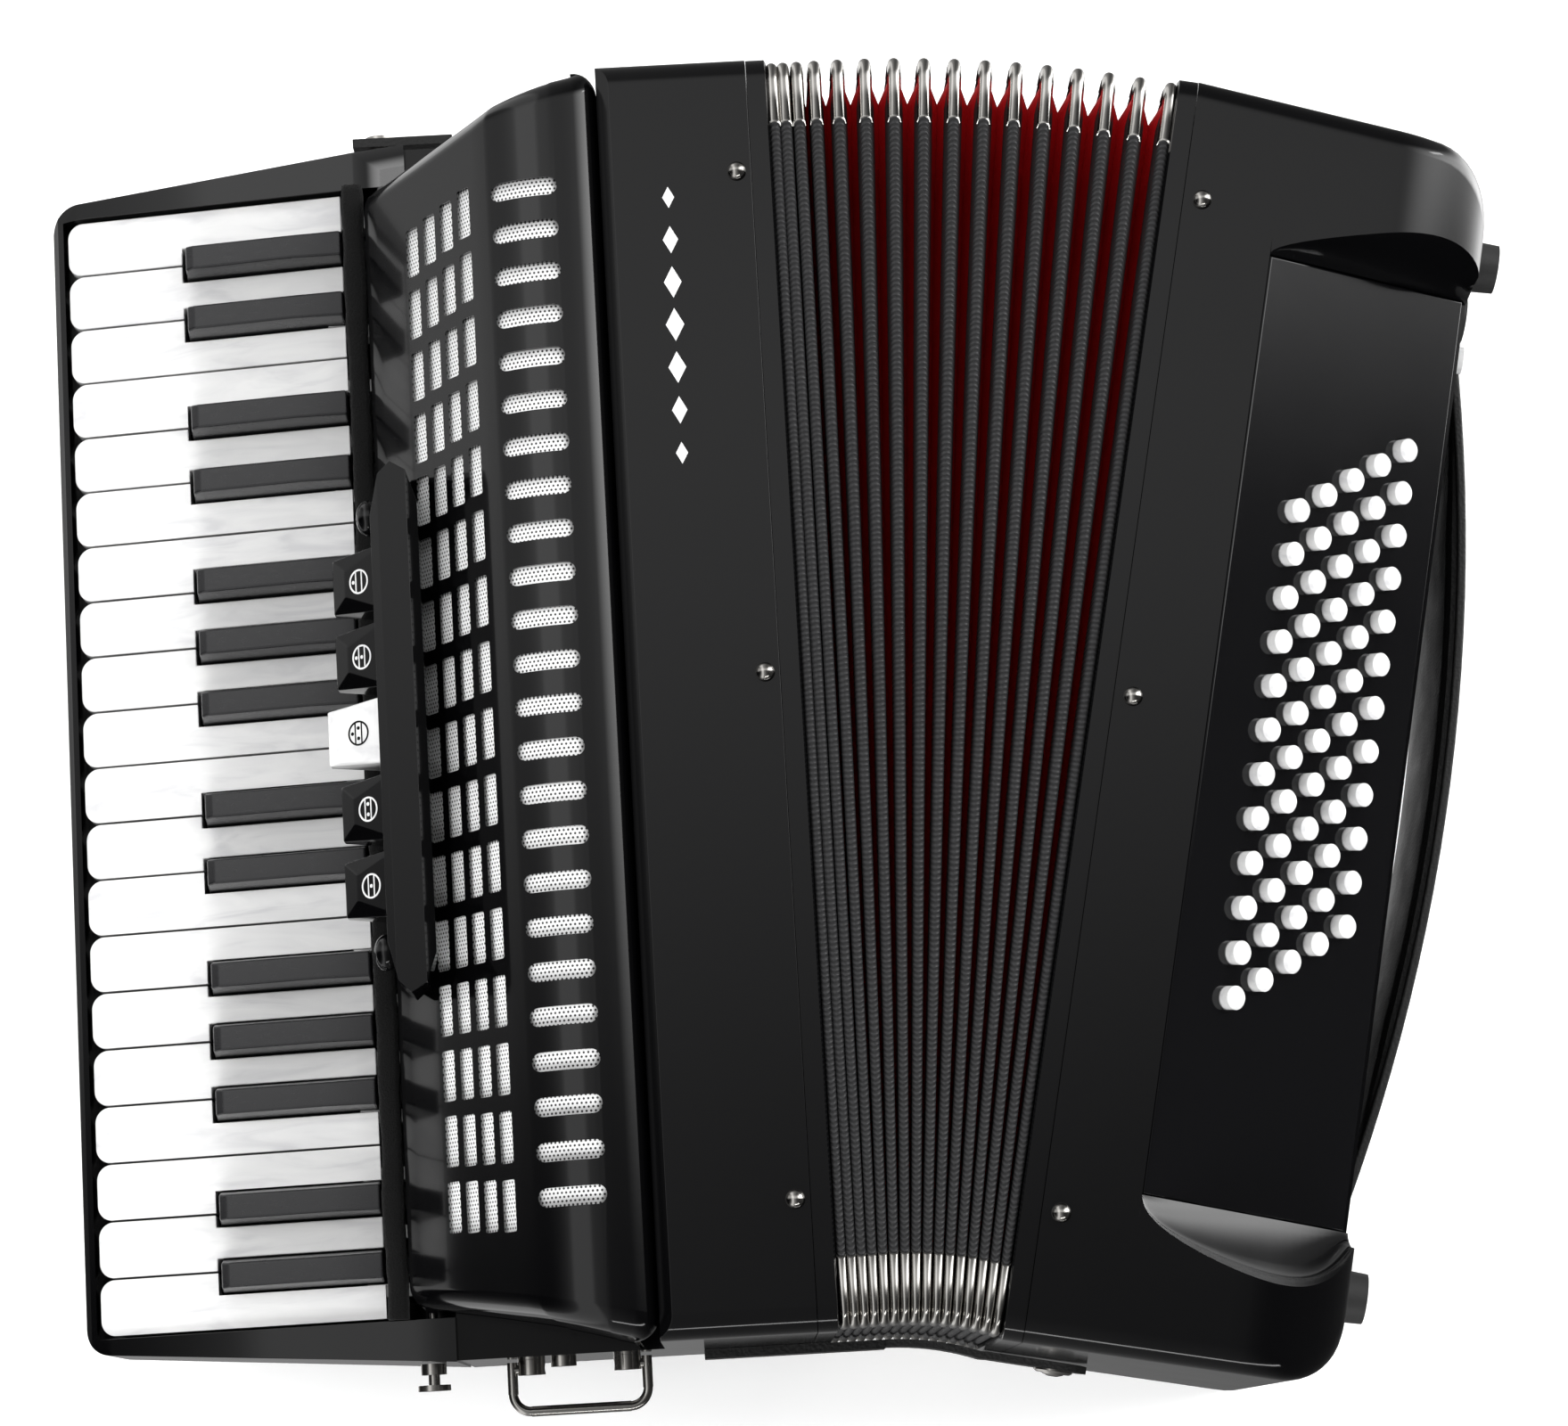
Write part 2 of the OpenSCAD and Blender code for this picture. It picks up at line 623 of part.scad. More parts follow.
for (i = [1 : white_count]) in_frame() white_key(i);
for (n = [1 : len(BLACK)]) in_frame() black_key(n);
for (i = [1 : register_count]) in_frame() register_switch(i);
in_frame() treble_casing();
in_frame() treble_grille();
in_frame() grille_screen();
in_frame() keyboard_bed();
in_frame() key_felt();
in_frame() key_axle();
in_frame() register_rail();
in_frame() treble_reed_blocks();
in_frame() treble_pins_and_studs();
in_frame() strap_ring();
in_frame() leather_straps();
in_frame() bellows();
in_frame() bass_casing();
in_frame() bass_button_panel();
in_frame() button_rows([1, 2]);  // bass_note_buttons
in_frame() button_rows([3, 4, 5]);  // chord_buttons
in_frame() bass_reed_blocks();
in_frame() bass_pins();
in_frame() bass_feet();
in_frame() bass_strap();
in_frame() air_button();
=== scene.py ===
"""Piano accordion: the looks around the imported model. Lengths are in metres."""

import bmesh
import bpy
import json
import math
import random
from mathutils import Matrix, Vector

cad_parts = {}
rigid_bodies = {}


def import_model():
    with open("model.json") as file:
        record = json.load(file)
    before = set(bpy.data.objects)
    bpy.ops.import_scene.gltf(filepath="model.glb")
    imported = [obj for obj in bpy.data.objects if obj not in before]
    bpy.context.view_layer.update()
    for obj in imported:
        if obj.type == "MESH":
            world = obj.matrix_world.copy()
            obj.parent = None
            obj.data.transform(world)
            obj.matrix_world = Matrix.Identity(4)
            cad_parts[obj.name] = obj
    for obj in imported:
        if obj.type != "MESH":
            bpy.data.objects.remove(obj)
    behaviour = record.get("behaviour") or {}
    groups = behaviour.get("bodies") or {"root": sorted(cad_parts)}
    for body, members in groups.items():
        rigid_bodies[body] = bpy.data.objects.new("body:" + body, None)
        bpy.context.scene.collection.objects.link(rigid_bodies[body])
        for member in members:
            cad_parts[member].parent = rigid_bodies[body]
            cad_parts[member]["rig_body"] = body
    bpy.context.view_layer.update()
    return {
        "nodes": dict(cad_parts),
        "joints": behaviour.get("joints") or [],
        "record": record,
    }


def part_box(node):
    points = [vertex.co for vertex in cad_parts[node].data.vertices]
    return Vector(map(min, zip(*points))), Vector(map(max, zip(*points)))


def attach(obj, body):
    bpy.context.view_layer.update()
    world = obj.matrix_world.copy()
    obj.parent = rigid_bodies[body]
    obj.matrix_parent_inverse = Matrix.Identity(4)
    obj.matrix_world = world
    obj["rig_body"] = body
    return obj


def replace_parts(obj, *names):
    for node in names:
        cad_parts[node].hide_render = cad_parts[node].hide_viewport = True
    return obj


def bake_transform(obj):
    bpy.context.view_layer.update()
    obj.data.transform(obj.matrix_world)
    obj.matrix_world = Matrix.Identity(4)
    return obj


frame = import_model()
MM = 0.001
JOINTS = {j["name"]: j for j in frame["joints"]}
FAN = -math.radians(JOINTS["bellows_fan"]["range_deg"][0])
PIVOT = Vector(JOINTS["bellows_fan"]["pos_m"])
PLEATS = 16
WHITE = sorted(n for n in frame["nodes"] if n.startswith("white_key"))
BLACK = sorted(n for n in frame["nodes"] if n.startswith("black_key"))
REGISTERS = sorted(n for n in frame["nodes"] if n.startswith("register_switch"))
TREBLE, BASS = "treble_side", "bass_side"


# ---------------------------------------------------------------- places

def fanned(point, share):
    """Turns a point of the closed instrument by its share of the open fan."""
    turn = Matrix.Rotation(-FAN * share, 3, "Z")
    return PIVOT + turn @ (Vector(point) - PIVOT)


BASS_REST = Matrix.Translation(PIVOT) @ Matrix.Rotation(-FAN, 4, "Z") @ Matrix.Translation(-PIVOT)
BASS_CLOSED = BASS_REST.inverted()


def closed_box(node):
    """The box of a bass piece when the bellows is closed."""
    points = [BASS_CLOSED @ v.co for v in frame["nodes"][node].data.vertices]
    low = Vector(min(p[i] for p in points) for i in range(3))
    high = Vector(max(p[i] for p in points) for i in range(3))
    return low, high


CASE1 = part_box("treble_casing")[1]
BCASE0, BCASE1 = closed_box("bass_casing")
HALF_H = CASE1.y
DEPTH = CASE1.z


# ---------------------------------------------------------------- materials

def material(name, color, rough, **sockets):
    """A plain material, with more of its sockets set by name."""
    m = bpy.data.materials.new(name)
    m.use_nodes = True
    shader = shader_of(m)
    shader.inputs["Base Color"].default_value = (*color, 1)
    shader.inputs["Roughness"].default_value = rough
    for key, value in sockets.items():
        shader.inputs[key.replace("_", " ")].default_value = value
    return m


def shader_of(m):
    return m.node_tree.nodes["Principled BSDF"]


def node(m, kind, **inputs):
    """A new shader node, with its inputs set by name."""
    n = m.node_tree.nodes.new(kind)
    for key, value in inputs.items():
        n.inputs[key.replace("_", " ")].default_value = value
    return n


def link(m, a, out, b, into):
    m.node_tree.links.new(a.outputs[out], b.inputs[into])


def coords(m, scale=(1, 1, 1)):
    """Object coordinates in metres, stretched by scale."""
    place = m.node_tree.nodes.new("ShaderNodeTexCoord")
    stretch = m.node_tree.nodes.new("ShaderNodeMapping")
    stretch.inputs["Scale"].default_value = scale
    link(m, place, "Object", stretch, "Vector")
    return stretch


def ramp(m, source, out, stops):
    """Colours by a value: stops are (place, colour)."""
    r = m.node_tree.nodes.new("ShaderNodeValToRGB")
    while len(r.color_ramp.elements) < len(stops):
        r.color_ramp.elements.new(0.5)
    for element, (place, color) in zip(r.color_ramp.elements, stops):
        element.position = place
        element.color = (*color, 1)
    link(m, source, out, r, "Fac")
    return r


def noise(m, scale, detail=4, stretch=(1, 1, 1), distortion=0.0):
    """Cloudy noise, whose scale counts its features in a metre."""
    n = node(m, "ShaderNodeTexNoise", Scale=scale, Detail=detail, Distortion=distortion)
    link(m, coords(m, stretch), "Vector", n, "Vector")
    return n


def bump(m, source, out, strength, distance):
    """Relief by a value, distance metres deep at full strength."""
    b = node(m, "ShaderNodeBump", Strength=strength, Distance=distance)
    link(m, source, out, b, "Height")
    link(m, b, "Normal", shader_of(m), "Normal")


def vary(m, source, out, socket, low, high):
    """Spreads a value between low and high into a shader socket."""
    span = node(m, "ShaderNodeMapRange")
    span.inputs["To Min"].default_value = low
    span.inputs["To Max"].default_value = high
    link(m, source, out, span, "Value")
    link(m, span, "Result", shader_of(m), socket)


def lacquer(name, color=(0.0012, 0.0012, 0.0014)):
    """Polished black celluloid, with the faint waves of a hand-rubbed face."""
    m = material(name, color, 0.09, Coat_Weight=0.2, Coat_Roughness=0.03, IOR=1.42)
    vary(m, noise(m, 35, 5), "Fac", "Roughness", 0.07, 0.13)
    bump(m, noise(m, 260, 2), "Fac", 0.02, 0.0002)
    return m


def pearl(name):
    """White celluloid with faint clouds that run along the key."""
    m = material(name, (0.62, 0.62, 0.62), 0.16, Coat_Weight=0.3, Coat_Roughness=0.05)
    clouds = noise(m, 130, 6, (0.14, 1, 1), 1.2)
    tone = ramp(m, clouds, "Fac", [(0.3, (0.56, 0.56, 0.57)), (0.47, (0.66, 0.66, 0.66)),
                                   (0.66, (0.71, 0.71, 0.705))])
    link(m, tone, "Color", shader_of(m), "Base Color")
    vary(m, clouds, "Fac", "Roughness", 0.12, 0.24)
    return m


def satin_black(name):
    """Black plastic with a fine grain along the key."""
    m = material(name, (0.012, 0.012, 0.013), 0.28, Specular_IOR_Level=0.5)
    grain = noise(m, 900, 3, (0.2, 1, 1))
    vary(m, grain, "Fac", "Roughness", 0.22, 0.36)
    bump(m, grain, "Fac", 0.05, 0.0002)
    return m


def nickel(name):
    """Plated metal, a little brushed."""
    m = material(name, (0.5, 0.485, 0.46), 0.16, Metallic=1.0)
    vary(m, noise(m, 400, 4, (1, 0.2, 1)), "Fac", "Roughness", 0.1, 0.26)
    return m


def wood(name):
    """Pale spruce, with its grain along Y."""
    m = material(name, (0.6, 0.42, 0.25), 0.55)
    grain = noise(m, 120, 8, (1, 0.05, 1), 0.6)
    tone = ramp(m, grain, "Fac", [(0.35, (0.45, 0.29, 0.15)), (0.65, (0.68, 0.5, 0.32))])
    link(m, tone, "Color", shader_of(m), "Base Color")
    bump(m, grain, "Fac", 0.2, 0.0004)
    return m


def felt(name):
    """Black felt with a short nap."""
    m = material(name, (0.003, 0.003, 0.003), 0.95, Sheen_Weight=0.06, Sheen_Roughness=0.4)
    bump(m, noise(m, 1600, 6), "Fac", 0.8, 0.0008)
    return m


def leather(name, color=(0.012, 0.012, 0.012), rough=0.42):
    """Leather or leatherette, with small cells for its grain."""
    m = material(name, color, rough, Specular_IOR_Level=0.4)
    cells = node(m, "ShaderNodeTexVoronoi", Scale=900)
    link(m, coords(m), "Vector", cells, "Vector")
    bump(m, cells, "Distance", 0.5, 0.0003)
    vary(m, noise(m, 80, 4), "Fac", "Roughness", rough - 0.08, rough + 0.15)
    return m


def rubber(name):
    """Dark rubber with a matt, slightly pitted face."""
    m = material(name, (0.02, 0.02, 0.02), 0.55)
    bump(m, noise(m, 700, 4), "Fac", 0.3, 0.0003)
    return m


def hole_mask(m, step, radius):
    """1 inside round holes that lie in a triangular pattern of the piece's own run."""
    place = m.node_tree.nodes.new("ShaderNodeAttribute")
    place.attribute_name = "along"
    cell = (step, step * math.sqrt(3), 1)
    near = m.node_tree.nodes.new("ShaderNodeMath")
    near.operation = "MINIMUM"
    for i, offset in enumerate(((0, 0, 0), (0.5, 0.5, 0))):
        last, out = place, "Vector"
        for operation, value in (("DIVIDE", cell), ("ADD", offset), ("FRACTION", None),
                                 ("SUBTRACT", (0.5, 0.5, 0)), ("MULTIPLY", (*cell[:2], 0)),
                                 ("LENGTH", None)):
            n = m.node_tree.nodes.new("ShaderNodeVectorMath")
            n.operation = operation
            if value:
                n.inputs[1].default_value = value
            m.node_tree.links.new(last.outputs[out], n.inputs[0])
            last, out = n, "Value" if operation == "LENGTH" else "Vector"
        m.node_tree.links.new(last.outputs[out], near.inputs[i])
    mask = node(m, "ShaderNodeMapRange")
    mask.inputs["From Min"].default_value = radius * 1.15
    mask.inputs["From Max"].default_value = radius * 0.85
    link(m, near, "Value", mask, "Value")
    return mask


def screen(name):
    """White lacquered sheet with small round holes, which are coloured near-black as painted shade of
    the dark inside seen through them.
    """
    m = material(name, (0.7, 0.7, 0.7), 0.4)
    holes = hole_mask(m, 1.5 * MM, 0.38 * MM)
    # painted shade: each hole is coloured near-black for the dark inside seen through it
    tone = ramp(m, holes, "Result", [(0.0, (0.76, 0.76, 0.76)), (1.0, (0.01, 0.01, 0.01))])
    link(m, tone, "Color", shader_of(m), "Base Color")
    bump(m, holes, "Result", -0.6, 0.0003)
    return m


def braid(name):
    """Black leather tape, embossed like a plait across its run, with painted shade in the plait's
    grooves: its tone is darker where the relief is low.
    """
    m = material(name, (0.02, 0.02, 0.021), 0.5, Specular_IOR_Level=0.45)
    place = m.node_tree.nodes.new("ShaderNodeAttribute")
    place.attribute_name = "along"
    wave = node(m, "ShaderNodeTexWave", Scale=190.0, Distortion=2.5, Detail=2.0)
    wave.wave_type = "BANDS"
    wave.bands_direction = "X"
    link(m, place, "Vector", wave, "Vector")
    # painted shade: the tone follows the relief, darker in the grooves and lighter on the ridges
    tone = ramp(m, wave, "Fac", [(0.2, (0.010, 0.010, 0.0105)), (0.8, (0.020, 0.020, 0.021))])
    link(m, tone, "Color", shader_of(m), "Base Color")
    bump(m, wave, "Fac", 0.55, 0.0005)
    vary(m, wave, "Fac", "Roughness", 0.7, 0.4)
    return m


MAT = {
    "lacquer": lacquer("black_lacquer"),
    "panel": lacquer("panel_lacquer", (0.003, 0.003, 0.0034)),
    "white_key": pearl("key_pearl"),
    "black_key": satin_black("key_black"),
    "register_black": lacquer("register_black"),
    "register_white": pearl("register_pearl"),
    "nickel": nickel("nickel"),
    "steel": nickel("axle_steel"),
    "wood": wood("spruce"),
    "felt": felt("felt_black"),
    "leather": leather("leather_black"),
    "rubber": rubber("rubber_dark"),
    "bass_button": pearl("button_white"),
    "tape": braid("pleat_tape"),
    "screen": screen("screen_white"),
    "gusset": leather("gusset_red", (0.55, 0.01, 0.014), 0.5),
}


# ---------------------------------------------------------------- mesh helpers

def tube(rows, n):
    """Faces of a closed skin: rows of n points, joined in turn, and an end face at each."""
    faces = []
    for i in range(rows - 1):
        for j in range(n):
            a, b = i * n + j, i * n + (j + 1) % n
            faces.append((a, a + n, b + n, b))
    last = (rows - 1) * n
    return faces + [tuple(range(n)), tuple(last + j for j in reversed(range(n)))]


def slab(base):
    """Faces of a block with four corners below and four above, counted from base."""
    ends = [(base + 3, base + 2, base + 1, base), (base + 4, base + 5, base + 6, base + 7)]
    return ends + [(base + j, base + (j + 1) % 4, base + 4 + (j + 1) % 4, base + 4 + j)
                   for j in range(4)]


def keep_run(obj, along):
    """Stores each point's place along the piece, which its material's pattern follows."""
    place = obj.data.attributes.new("along", "FLOAT_VECTOR", "POINT")
    place.data.foreach_set("vector", [value for point in along for value in point])


def make(name, verts, faces, mat):
    """A new piece from points and faces."""
    mesh = bpy.data.meshes.new(name)
    mesh.from_pydata([tuple(v) for v in verts], [], faces)
    mesh.validate()
    return dress(name, mesh, mat)


def dress(name, mesh, mat):
    """Makes an object of a mesh, with its material."""
    obj = bpy.data.objects.new(name, mesh)
    bpy.context.scene.collection.objects.link(obj)
    mesh.materials.clear()
    mesh.materials.append(MAT[mat])
    mesh.polygons.foreach_set("use_smooth", [True] * len(mesh.polygons))
    return obj


def flatten(obj):
    """Applies the object's modifiers to its mesh."""
    graph = bpy.context.evaluated_depsgraph_get()
    mesh = bpy.data.meshes.new_from_object(obj.evaluated_get(graph))
    obj.modifiers.clear()
    obj.data = mesh
    return obj


def recompute_outside(mesh):
    """Turns every face to point out."""
    bm = bmesh.new()
    bm.from_mesh(mesh)
    bmesh.ops.recalc_face_normals(bm, faces=bm.faces)
    bm.to_mesh(mesh)
    bm.free()


def fair(obj, sharp_deg=35):
    """Smooth shading that keeps flat faces flat."""
    obj.data.set_sharp_from_angle(angle=math.radians(sharp_deg))
    even = obj.modifiers.new("even", "WEIGHTED_NORMAL")
    even.weight = 100
    even.keep_sharp = True
    return flatten(obj)


def softened(cad, name, mat, width, picked=lambda a, b: True, steps=3, sharp_deg=35):
    """A copy of a CAD node with its picked edges rounded, which stands for the node."""
    bm = bmesh.new()
    bm.from_mesh(frame["nodes"][cad].data)
    bmesh.ops.remove_doubles(bm, verts=bm.verts, dist=1e-6)
    bmesh.ops.dissolve_limit(bm, angle_limit=math.radians(0.5), verts=bm.verts, edges=bm.edges)
    edges = [e for e in bm.edges if len(e.link_faces) == 2
             and e.calc_face_angle(0) > math.radians(28)
             and picked(e.verts[0].co, e.verts[1].co)]
    bmesh.ops.bevel(bm, geom=edges, offset=width, segments=steps, profile=0.5,
                    affect="EDGES", clamp_overlap=True)
    mesh = bpy.data.meshes.new(name)
    bm.to_mesh(mesh)
    bm.free()
    obj = dress(name, mesh, mat)
    fair(obj, sharp_deg)
    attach(obj, frame["nodes"][cad]["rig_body"])
    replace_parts(obj, cad)
    return obj


# ---------------------------------------------------------------- bellows

FRAME_W = 7 * MM                        # thickness of each end frame
TREBLE_FACE = CASE1.x + FRAME_W         # the bellows' side of the treble end frame
CLOSED_W = BCASE0.x - FRAME_W - TREBLE_FACE
PLEAT = CLOSED_W / PLEATS
CREST_OUT = HALF_H - 1.5 * MM
CREST_Z = (2 * MM, DEPTH - 2 * MM)
PLEAT_DEPTH = 25 * MM
CREST_CORNER = 8 * MM                   # radius of a crest's corners
LEG = 13 * MM                           # reach of a corner cap along each edge
SHUT = 0.2                              # part of the bellows that hardly opens


def soft(s):
    """Nearly level up to SHUT, and then a steady rise."""
    return (s - SHUT + math.sqrt((s - SHUT) ** 2 + 0.0144)) / 2


def share_of(k):
    """Share of the fan at pleat k: the first pleats stay nearly shut."""
    return (soft(k / (PLEATS - 1)) - soft(0)) / (soft(1) - soft(0))


def ring_points(inset, radius, per_corner=8):
    """A rounded rectangle in Y and Z, as (y, z), inset from the pleats' crests."""
    y1, z0, z1 = CREST_OUT - inset, CREST_Z[0] + inset, CREST_Z[1] - inset
    corners = [(y1, z1, 0), (-y1, z1, 90), (-y1, z0, 180), (y1, z0, 270)]
    points = []
    for y, z, start in corners:
        cy = y - math.copysign(radius, y)
        cz = z - radius if z == z1 else z + radius
        for i in range(per_corner + 1):
            a = math.radians(start + 90 * i / per_corner)
            points.append((cy + radius * math.cos(a), cz + radius * math.sin(a)))
    full = []
    for i, p in enumerate(points):
        q = points[(i + 1) % len(points)]
        run = math.hypot(q[0] - p[0], q[1] - p[1])
        stops = [0]
        if run > 0.03:
            steps = 20 if run > DEPTH else 7
            inner = run - 2 * LEG
            stops += [LEG + inner * j / steps for j in range(steps + 1)]
        full += [(p[0] + (q[0] - p[0]) * t / run, p[1] + (q[1] - p[1]) * t / run) for t in stops]
    return full


def bent(obj):
    """Bakes the piece's place into its mesh; its points were each set by their own share of the fan,
    between the two casings.
    """
    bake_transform(obj)
    return obj


def valley_share(k):
    """Share of the fan in the valley before pleat k."""
    if k == 0:
        return 0.0
    if k == PLEATS:
        return 1.0
    return (share_of(k - 1) + share_of(k)) / 2


def filled_out(ring, reach):
    """The valley ring with its corners pushed out, where a gusset fills the fold."""
    out = []
    for y, z in ring:
        edge = CREST_Z[1] if z > DEPTH / 2 else CREST_Z[0]
        near = max(abs(abs(y) - CREST_OUT), abs(z - edge)) < PLEAT_DEPTH + 7 * MM
        push = reach if near else 0
        out.append((y + math.copysign(push, y), z + math.copysign(push * 0.8, z - DEPTH / 2)))
    return out


def bellows_gussets():
    """The red boards: one folded skin from frame to frame."""
    loops = [(TREBLE_FACE, PLEAT_DEPTH, valley_share(0))]
    for k in range(PLEATS):
        loops.append((TREBLE_FACE + PLEAT * (k + 0.5), 2.6 * MM, share_of(k)))
        loops.append((TREBLE_FACE + PLEAT * (k + 1), PLEAT_DEPTH, valley_share(k + 1)))
    verts, weights, faces = [], [], []
    for x, inset, share in loops:
        ring = ring_points(inset, 6 * MM)
        if inset > 0.01:
            ring = filled_out(ring, 14 * MM)
        verts += [fanned((x, y, z), share) for y, z in ring]
        weights += [share] * len(ring)
    n = len(verts) // len(loops)
    for i in range(len(loops) - 1):
        for j in range(n):
            a, b = i * n + j, i * n + (j + 1) % n
            faces.append((a, b, b + n, a + n))
    obj = make("bellows_gussets", verts, faces, "gusset")
    obj.data.set_sharp_from_angle(angle=math.radians(40))
    return bent(obj)


def crest_section(width, leg):
    """Half a tube with two legs, as (across, inset, side)."""
    r = width / 2
    arc = [(-r * math.cos(math.radians(a)), r - r * math.sin(math.radians(a)), 0)
           for a in range(0, 181, 20)]
    return [(-r, leg, -1)] + arc + [(r, leg, 1)]


def opened(y):
    """How much wider a crest is where the fan gives it room: 1 at the strap side."""
    return 1 + 0.3 * (y + HALF_H) / (2 * HALF_H)


def crest_sweep(name, width, leg, spans, proud, mat):
    """Sweeps the crest section along the picked spans of every pleat's edge."""
    verts, weights, faces, along = [], [], [], []
    section = crest_section(width, leg)
    m = len(section)
    rings = [ring_points(inset - proud, CREST_CORNER) for _, inset, _ in section]
    n = len(rings[0])
    run = [0.0]
    for j in range(n):
        p, q = rings[0][j], rings[0][(j + 1) % n]
        run.append(run[-1] + math.hypot(q[0] - p[0], q[1] - p[1]))
    for k in range(PLEATS):
        x = TREBLE_FACE + PLEAT * (k + 0.5)
        for span in spans(rings[0]):
            base = len(verts)
            for j in span:
                for (across, inset, side), ring in zip(section, rings):
                    share = share_of(k)
                    if side:
                        near = valley_share(k if side < 0 else k + 1)
                        share += (near - share) * inset / PLEAT_DEPTH
                    y, z = ring[j % n]
                    verts.append(fanned((x + across * opened(y), y, z), share))
                    weights.append(share)
                    along.append((run[j % (n + 1)], across, 0))
            for a in range(len(span) - 1):
                for b in range(m - 1):
                    i = base + a * m + b
                    faces.append((i, i + m, i + m + 1, i + 1))
                i = base + a * m
                faces.append((i + m - 1, i + 2 * m - 1, i + m, i))
            if span[0] % n != span[-1] % n:
                faces.append(tuple(base + b for b in range(m)))
                last = base + (len(span) - 1) * m
                faces.append(tuple(last + b for b in reversed(range(m))))
    obj = make(name, verts, faces, mat)
    keep_run(obj, along)
    recompute_outside(obj.data)
    obj.data.set_sharp_from_angle(angle=math.radians(50))
    return bent(obj)


def corner_spans(ring):
    """The four corners, with a leg along each edge."""
    reach = CREST_CORNER + LEG + 4 * MM
    spans = []
    n = len(ring)
    for sy in (1, -1):
        for z_edge in CREST_Z:
            near = [j for j, (y, z) in enumerate(ring)
                    if y * sy > CREST_OUT - reach and abs(z - z_edge) < reach]
            start = next(j for j in near if (j - 1) % n not in near)
            span = [start]
            while (span[-1] + 1) % n in near:
                span.append(span[-1] + 1)
            spans.append(span)
    return spans


def side_spans(ring):
    """The four straight stretches between the corners, which end under the corner caps."""
    n = len(ring)
    corners = corner_spans(ring)
    inner = {j % n for span in corners for j in span[1:-1]}
    spans = []
    for j in range(n):
        if j not in inner and (j - 1) % n in inner:
            span = [j]
            while (span[-1] + 1) % n not in inner:
                span.append(span[-1] + 1)
            spans.append(span)
    return spans


def bellows_frames():
    """The lacquered end frames, against the treble and bass casings."""
    for name, x, share, body in (("bellows_frame_treble", CASE1.x, 0, TREBLE),
                                 ("bellows_frame_bass", BCASE0.x - FRAME_W, 1, BASS)):
        verts, faces = [], []
        outer = 0.5 * MM
        sections = [(0.2 * MM, 0), (6.2 * MM, 0), (6.8 * MM, 0.8 * MM), (6.8 * MM, 12 * MM),
                    (0.2 * MM, 12 * MM)]
        if share:
            sections = [(FRAME_W - a, b) for a, b in sections]
        for across, inset in sections:
            ring = ring_points(inset - outer - 1 * MM, CREST_CORNER)
            verts += [fanned((x + across, y, z), share) for y, z in ring]
        n = len(verts) // len(sections)
        m = len(sections)
        for i in range(m):
            for j in range(n):
                a, b = i * n + j, i * n + (j + 1) % n
                c, d = ((i + 1) % m) * n + (j + 1) % n, ((i + 1) % m) * n + j
                faces.append((a, b, c, d))
        obj = make(name, verts, faces, "lacquer")
        recompute_outside(obj.data)
        fair(obj)
        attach(obj, body)


def bellows():
    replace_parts(bellows_gussets(), "bellows")
    crest_sweep("bellows_tapes", 2.95 * MM, 8 * MM, side_spans, 0, "tape")
    crest_sweep("bellows_corners", 3.04 * MM, 2.1 * MM, corner_spans, 0.6 * MM, "nickel")
    bellows_frames()


# ---------------------------------------------------------------- CAD pieces with better finish

def finish_cad_nodes():
    """Gives each CAD node the material of its slot in the record."""
    slots = {s["node"]: s["material_slot"] for s in frame["record"]["subparts"]}
    for name, obj in frame["nodes"].items():
        slot = slots[name]
        mat = {"bellows_cloth": "tape"}.get(slot, slot)
        obj.data.materials.clear()
        obj.data.materials.append(MAT[mat])


# ---------------------------------------------------------------- keyboard

def keyboard():
    keys_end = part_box("key_felt")[0].x
    for name in WHITE:
        softened(name, name + "_cap", "white_key", 0.55 * MM,
                 lambda a, b: max(a.x, b.x) < keys_end and min(a.z, b.z) > 74 * MM, steps=3)
    for name in BLACK:
        softened(name, name + "_cap", "black_key", 0.8 * MM,
                 lambda a, b: max(a.x, b.x) < keys_end and min(a.z, b.z) > 90 * MM, steps=3)
    softened("keyboard_bed", "keyboard_bed_shell", "lacquer", 3 * MM,
             lambda a, b: abs(a.y) > 190.5 * MM and abs(b.y) > 190.5 * MM
             and abs(a.x - b.x) > 2 * MM, steps=5)


def felt_strip():
    """The felt over the keys' ends, with a slightly ragged outline."""
    low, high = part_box("key_felt")
    rng = random.Random(4)
    steps = 150
    verts, faces = [], []
    drift = [0.0, 0.0]
    for i in range(steps + 1):
        y = low.y + (high.y - low.y) * i / steps
        for side in (0, 1):
            drift[side] = 0.8 * drift[side] + rng.uniform(-0.22, 0.22) * MM
        x0, x1 = low.x + 0.4 * MM + drift[0], high.x - 0.4 * MM + drift[1]
        for x, z in ((x0, low.z), (x0, high.z - 1.5 * MM), (x0 + 1.2 * MM, high.z - 0.3 * MM),
                     (x1 - 1.2 * MM, high.z), (x1, high.z - 1.2 * MM), (x1, low.z)):
            verts.append((x, y, z + rng.uniform(-0.12, 0.12) * MM))
    for i in range(steps):
        for j in range(6):
            a, b = i * 6 + j, i * 6 + (j + 1) % 6
            faces.append((a, b, b + 6, a + 6))
    faces += [tuple(range(6)), tuple(steps * 6 + j for j in reversed(range(6)))]
    obj = make("felt_strip", verts, faces, "felt")
    recompute_outside(obj.data)
    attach(obj, TREBLE)
    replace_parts(obj, "key_felt")


# ---------------------------------------------------------------- treble side

def treble_casing():
    softened("treble_casing", "treble_casing_shell", "lacquer", 1.5 * MM,
             lambda a, b: min(a.z, b.z) > 101 * MM or (a.x > CASE1.x - MM and b.x > CASE1.x - MM),
             steps=3)


GRILLE0, GRILLE1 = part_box("treble_grille")


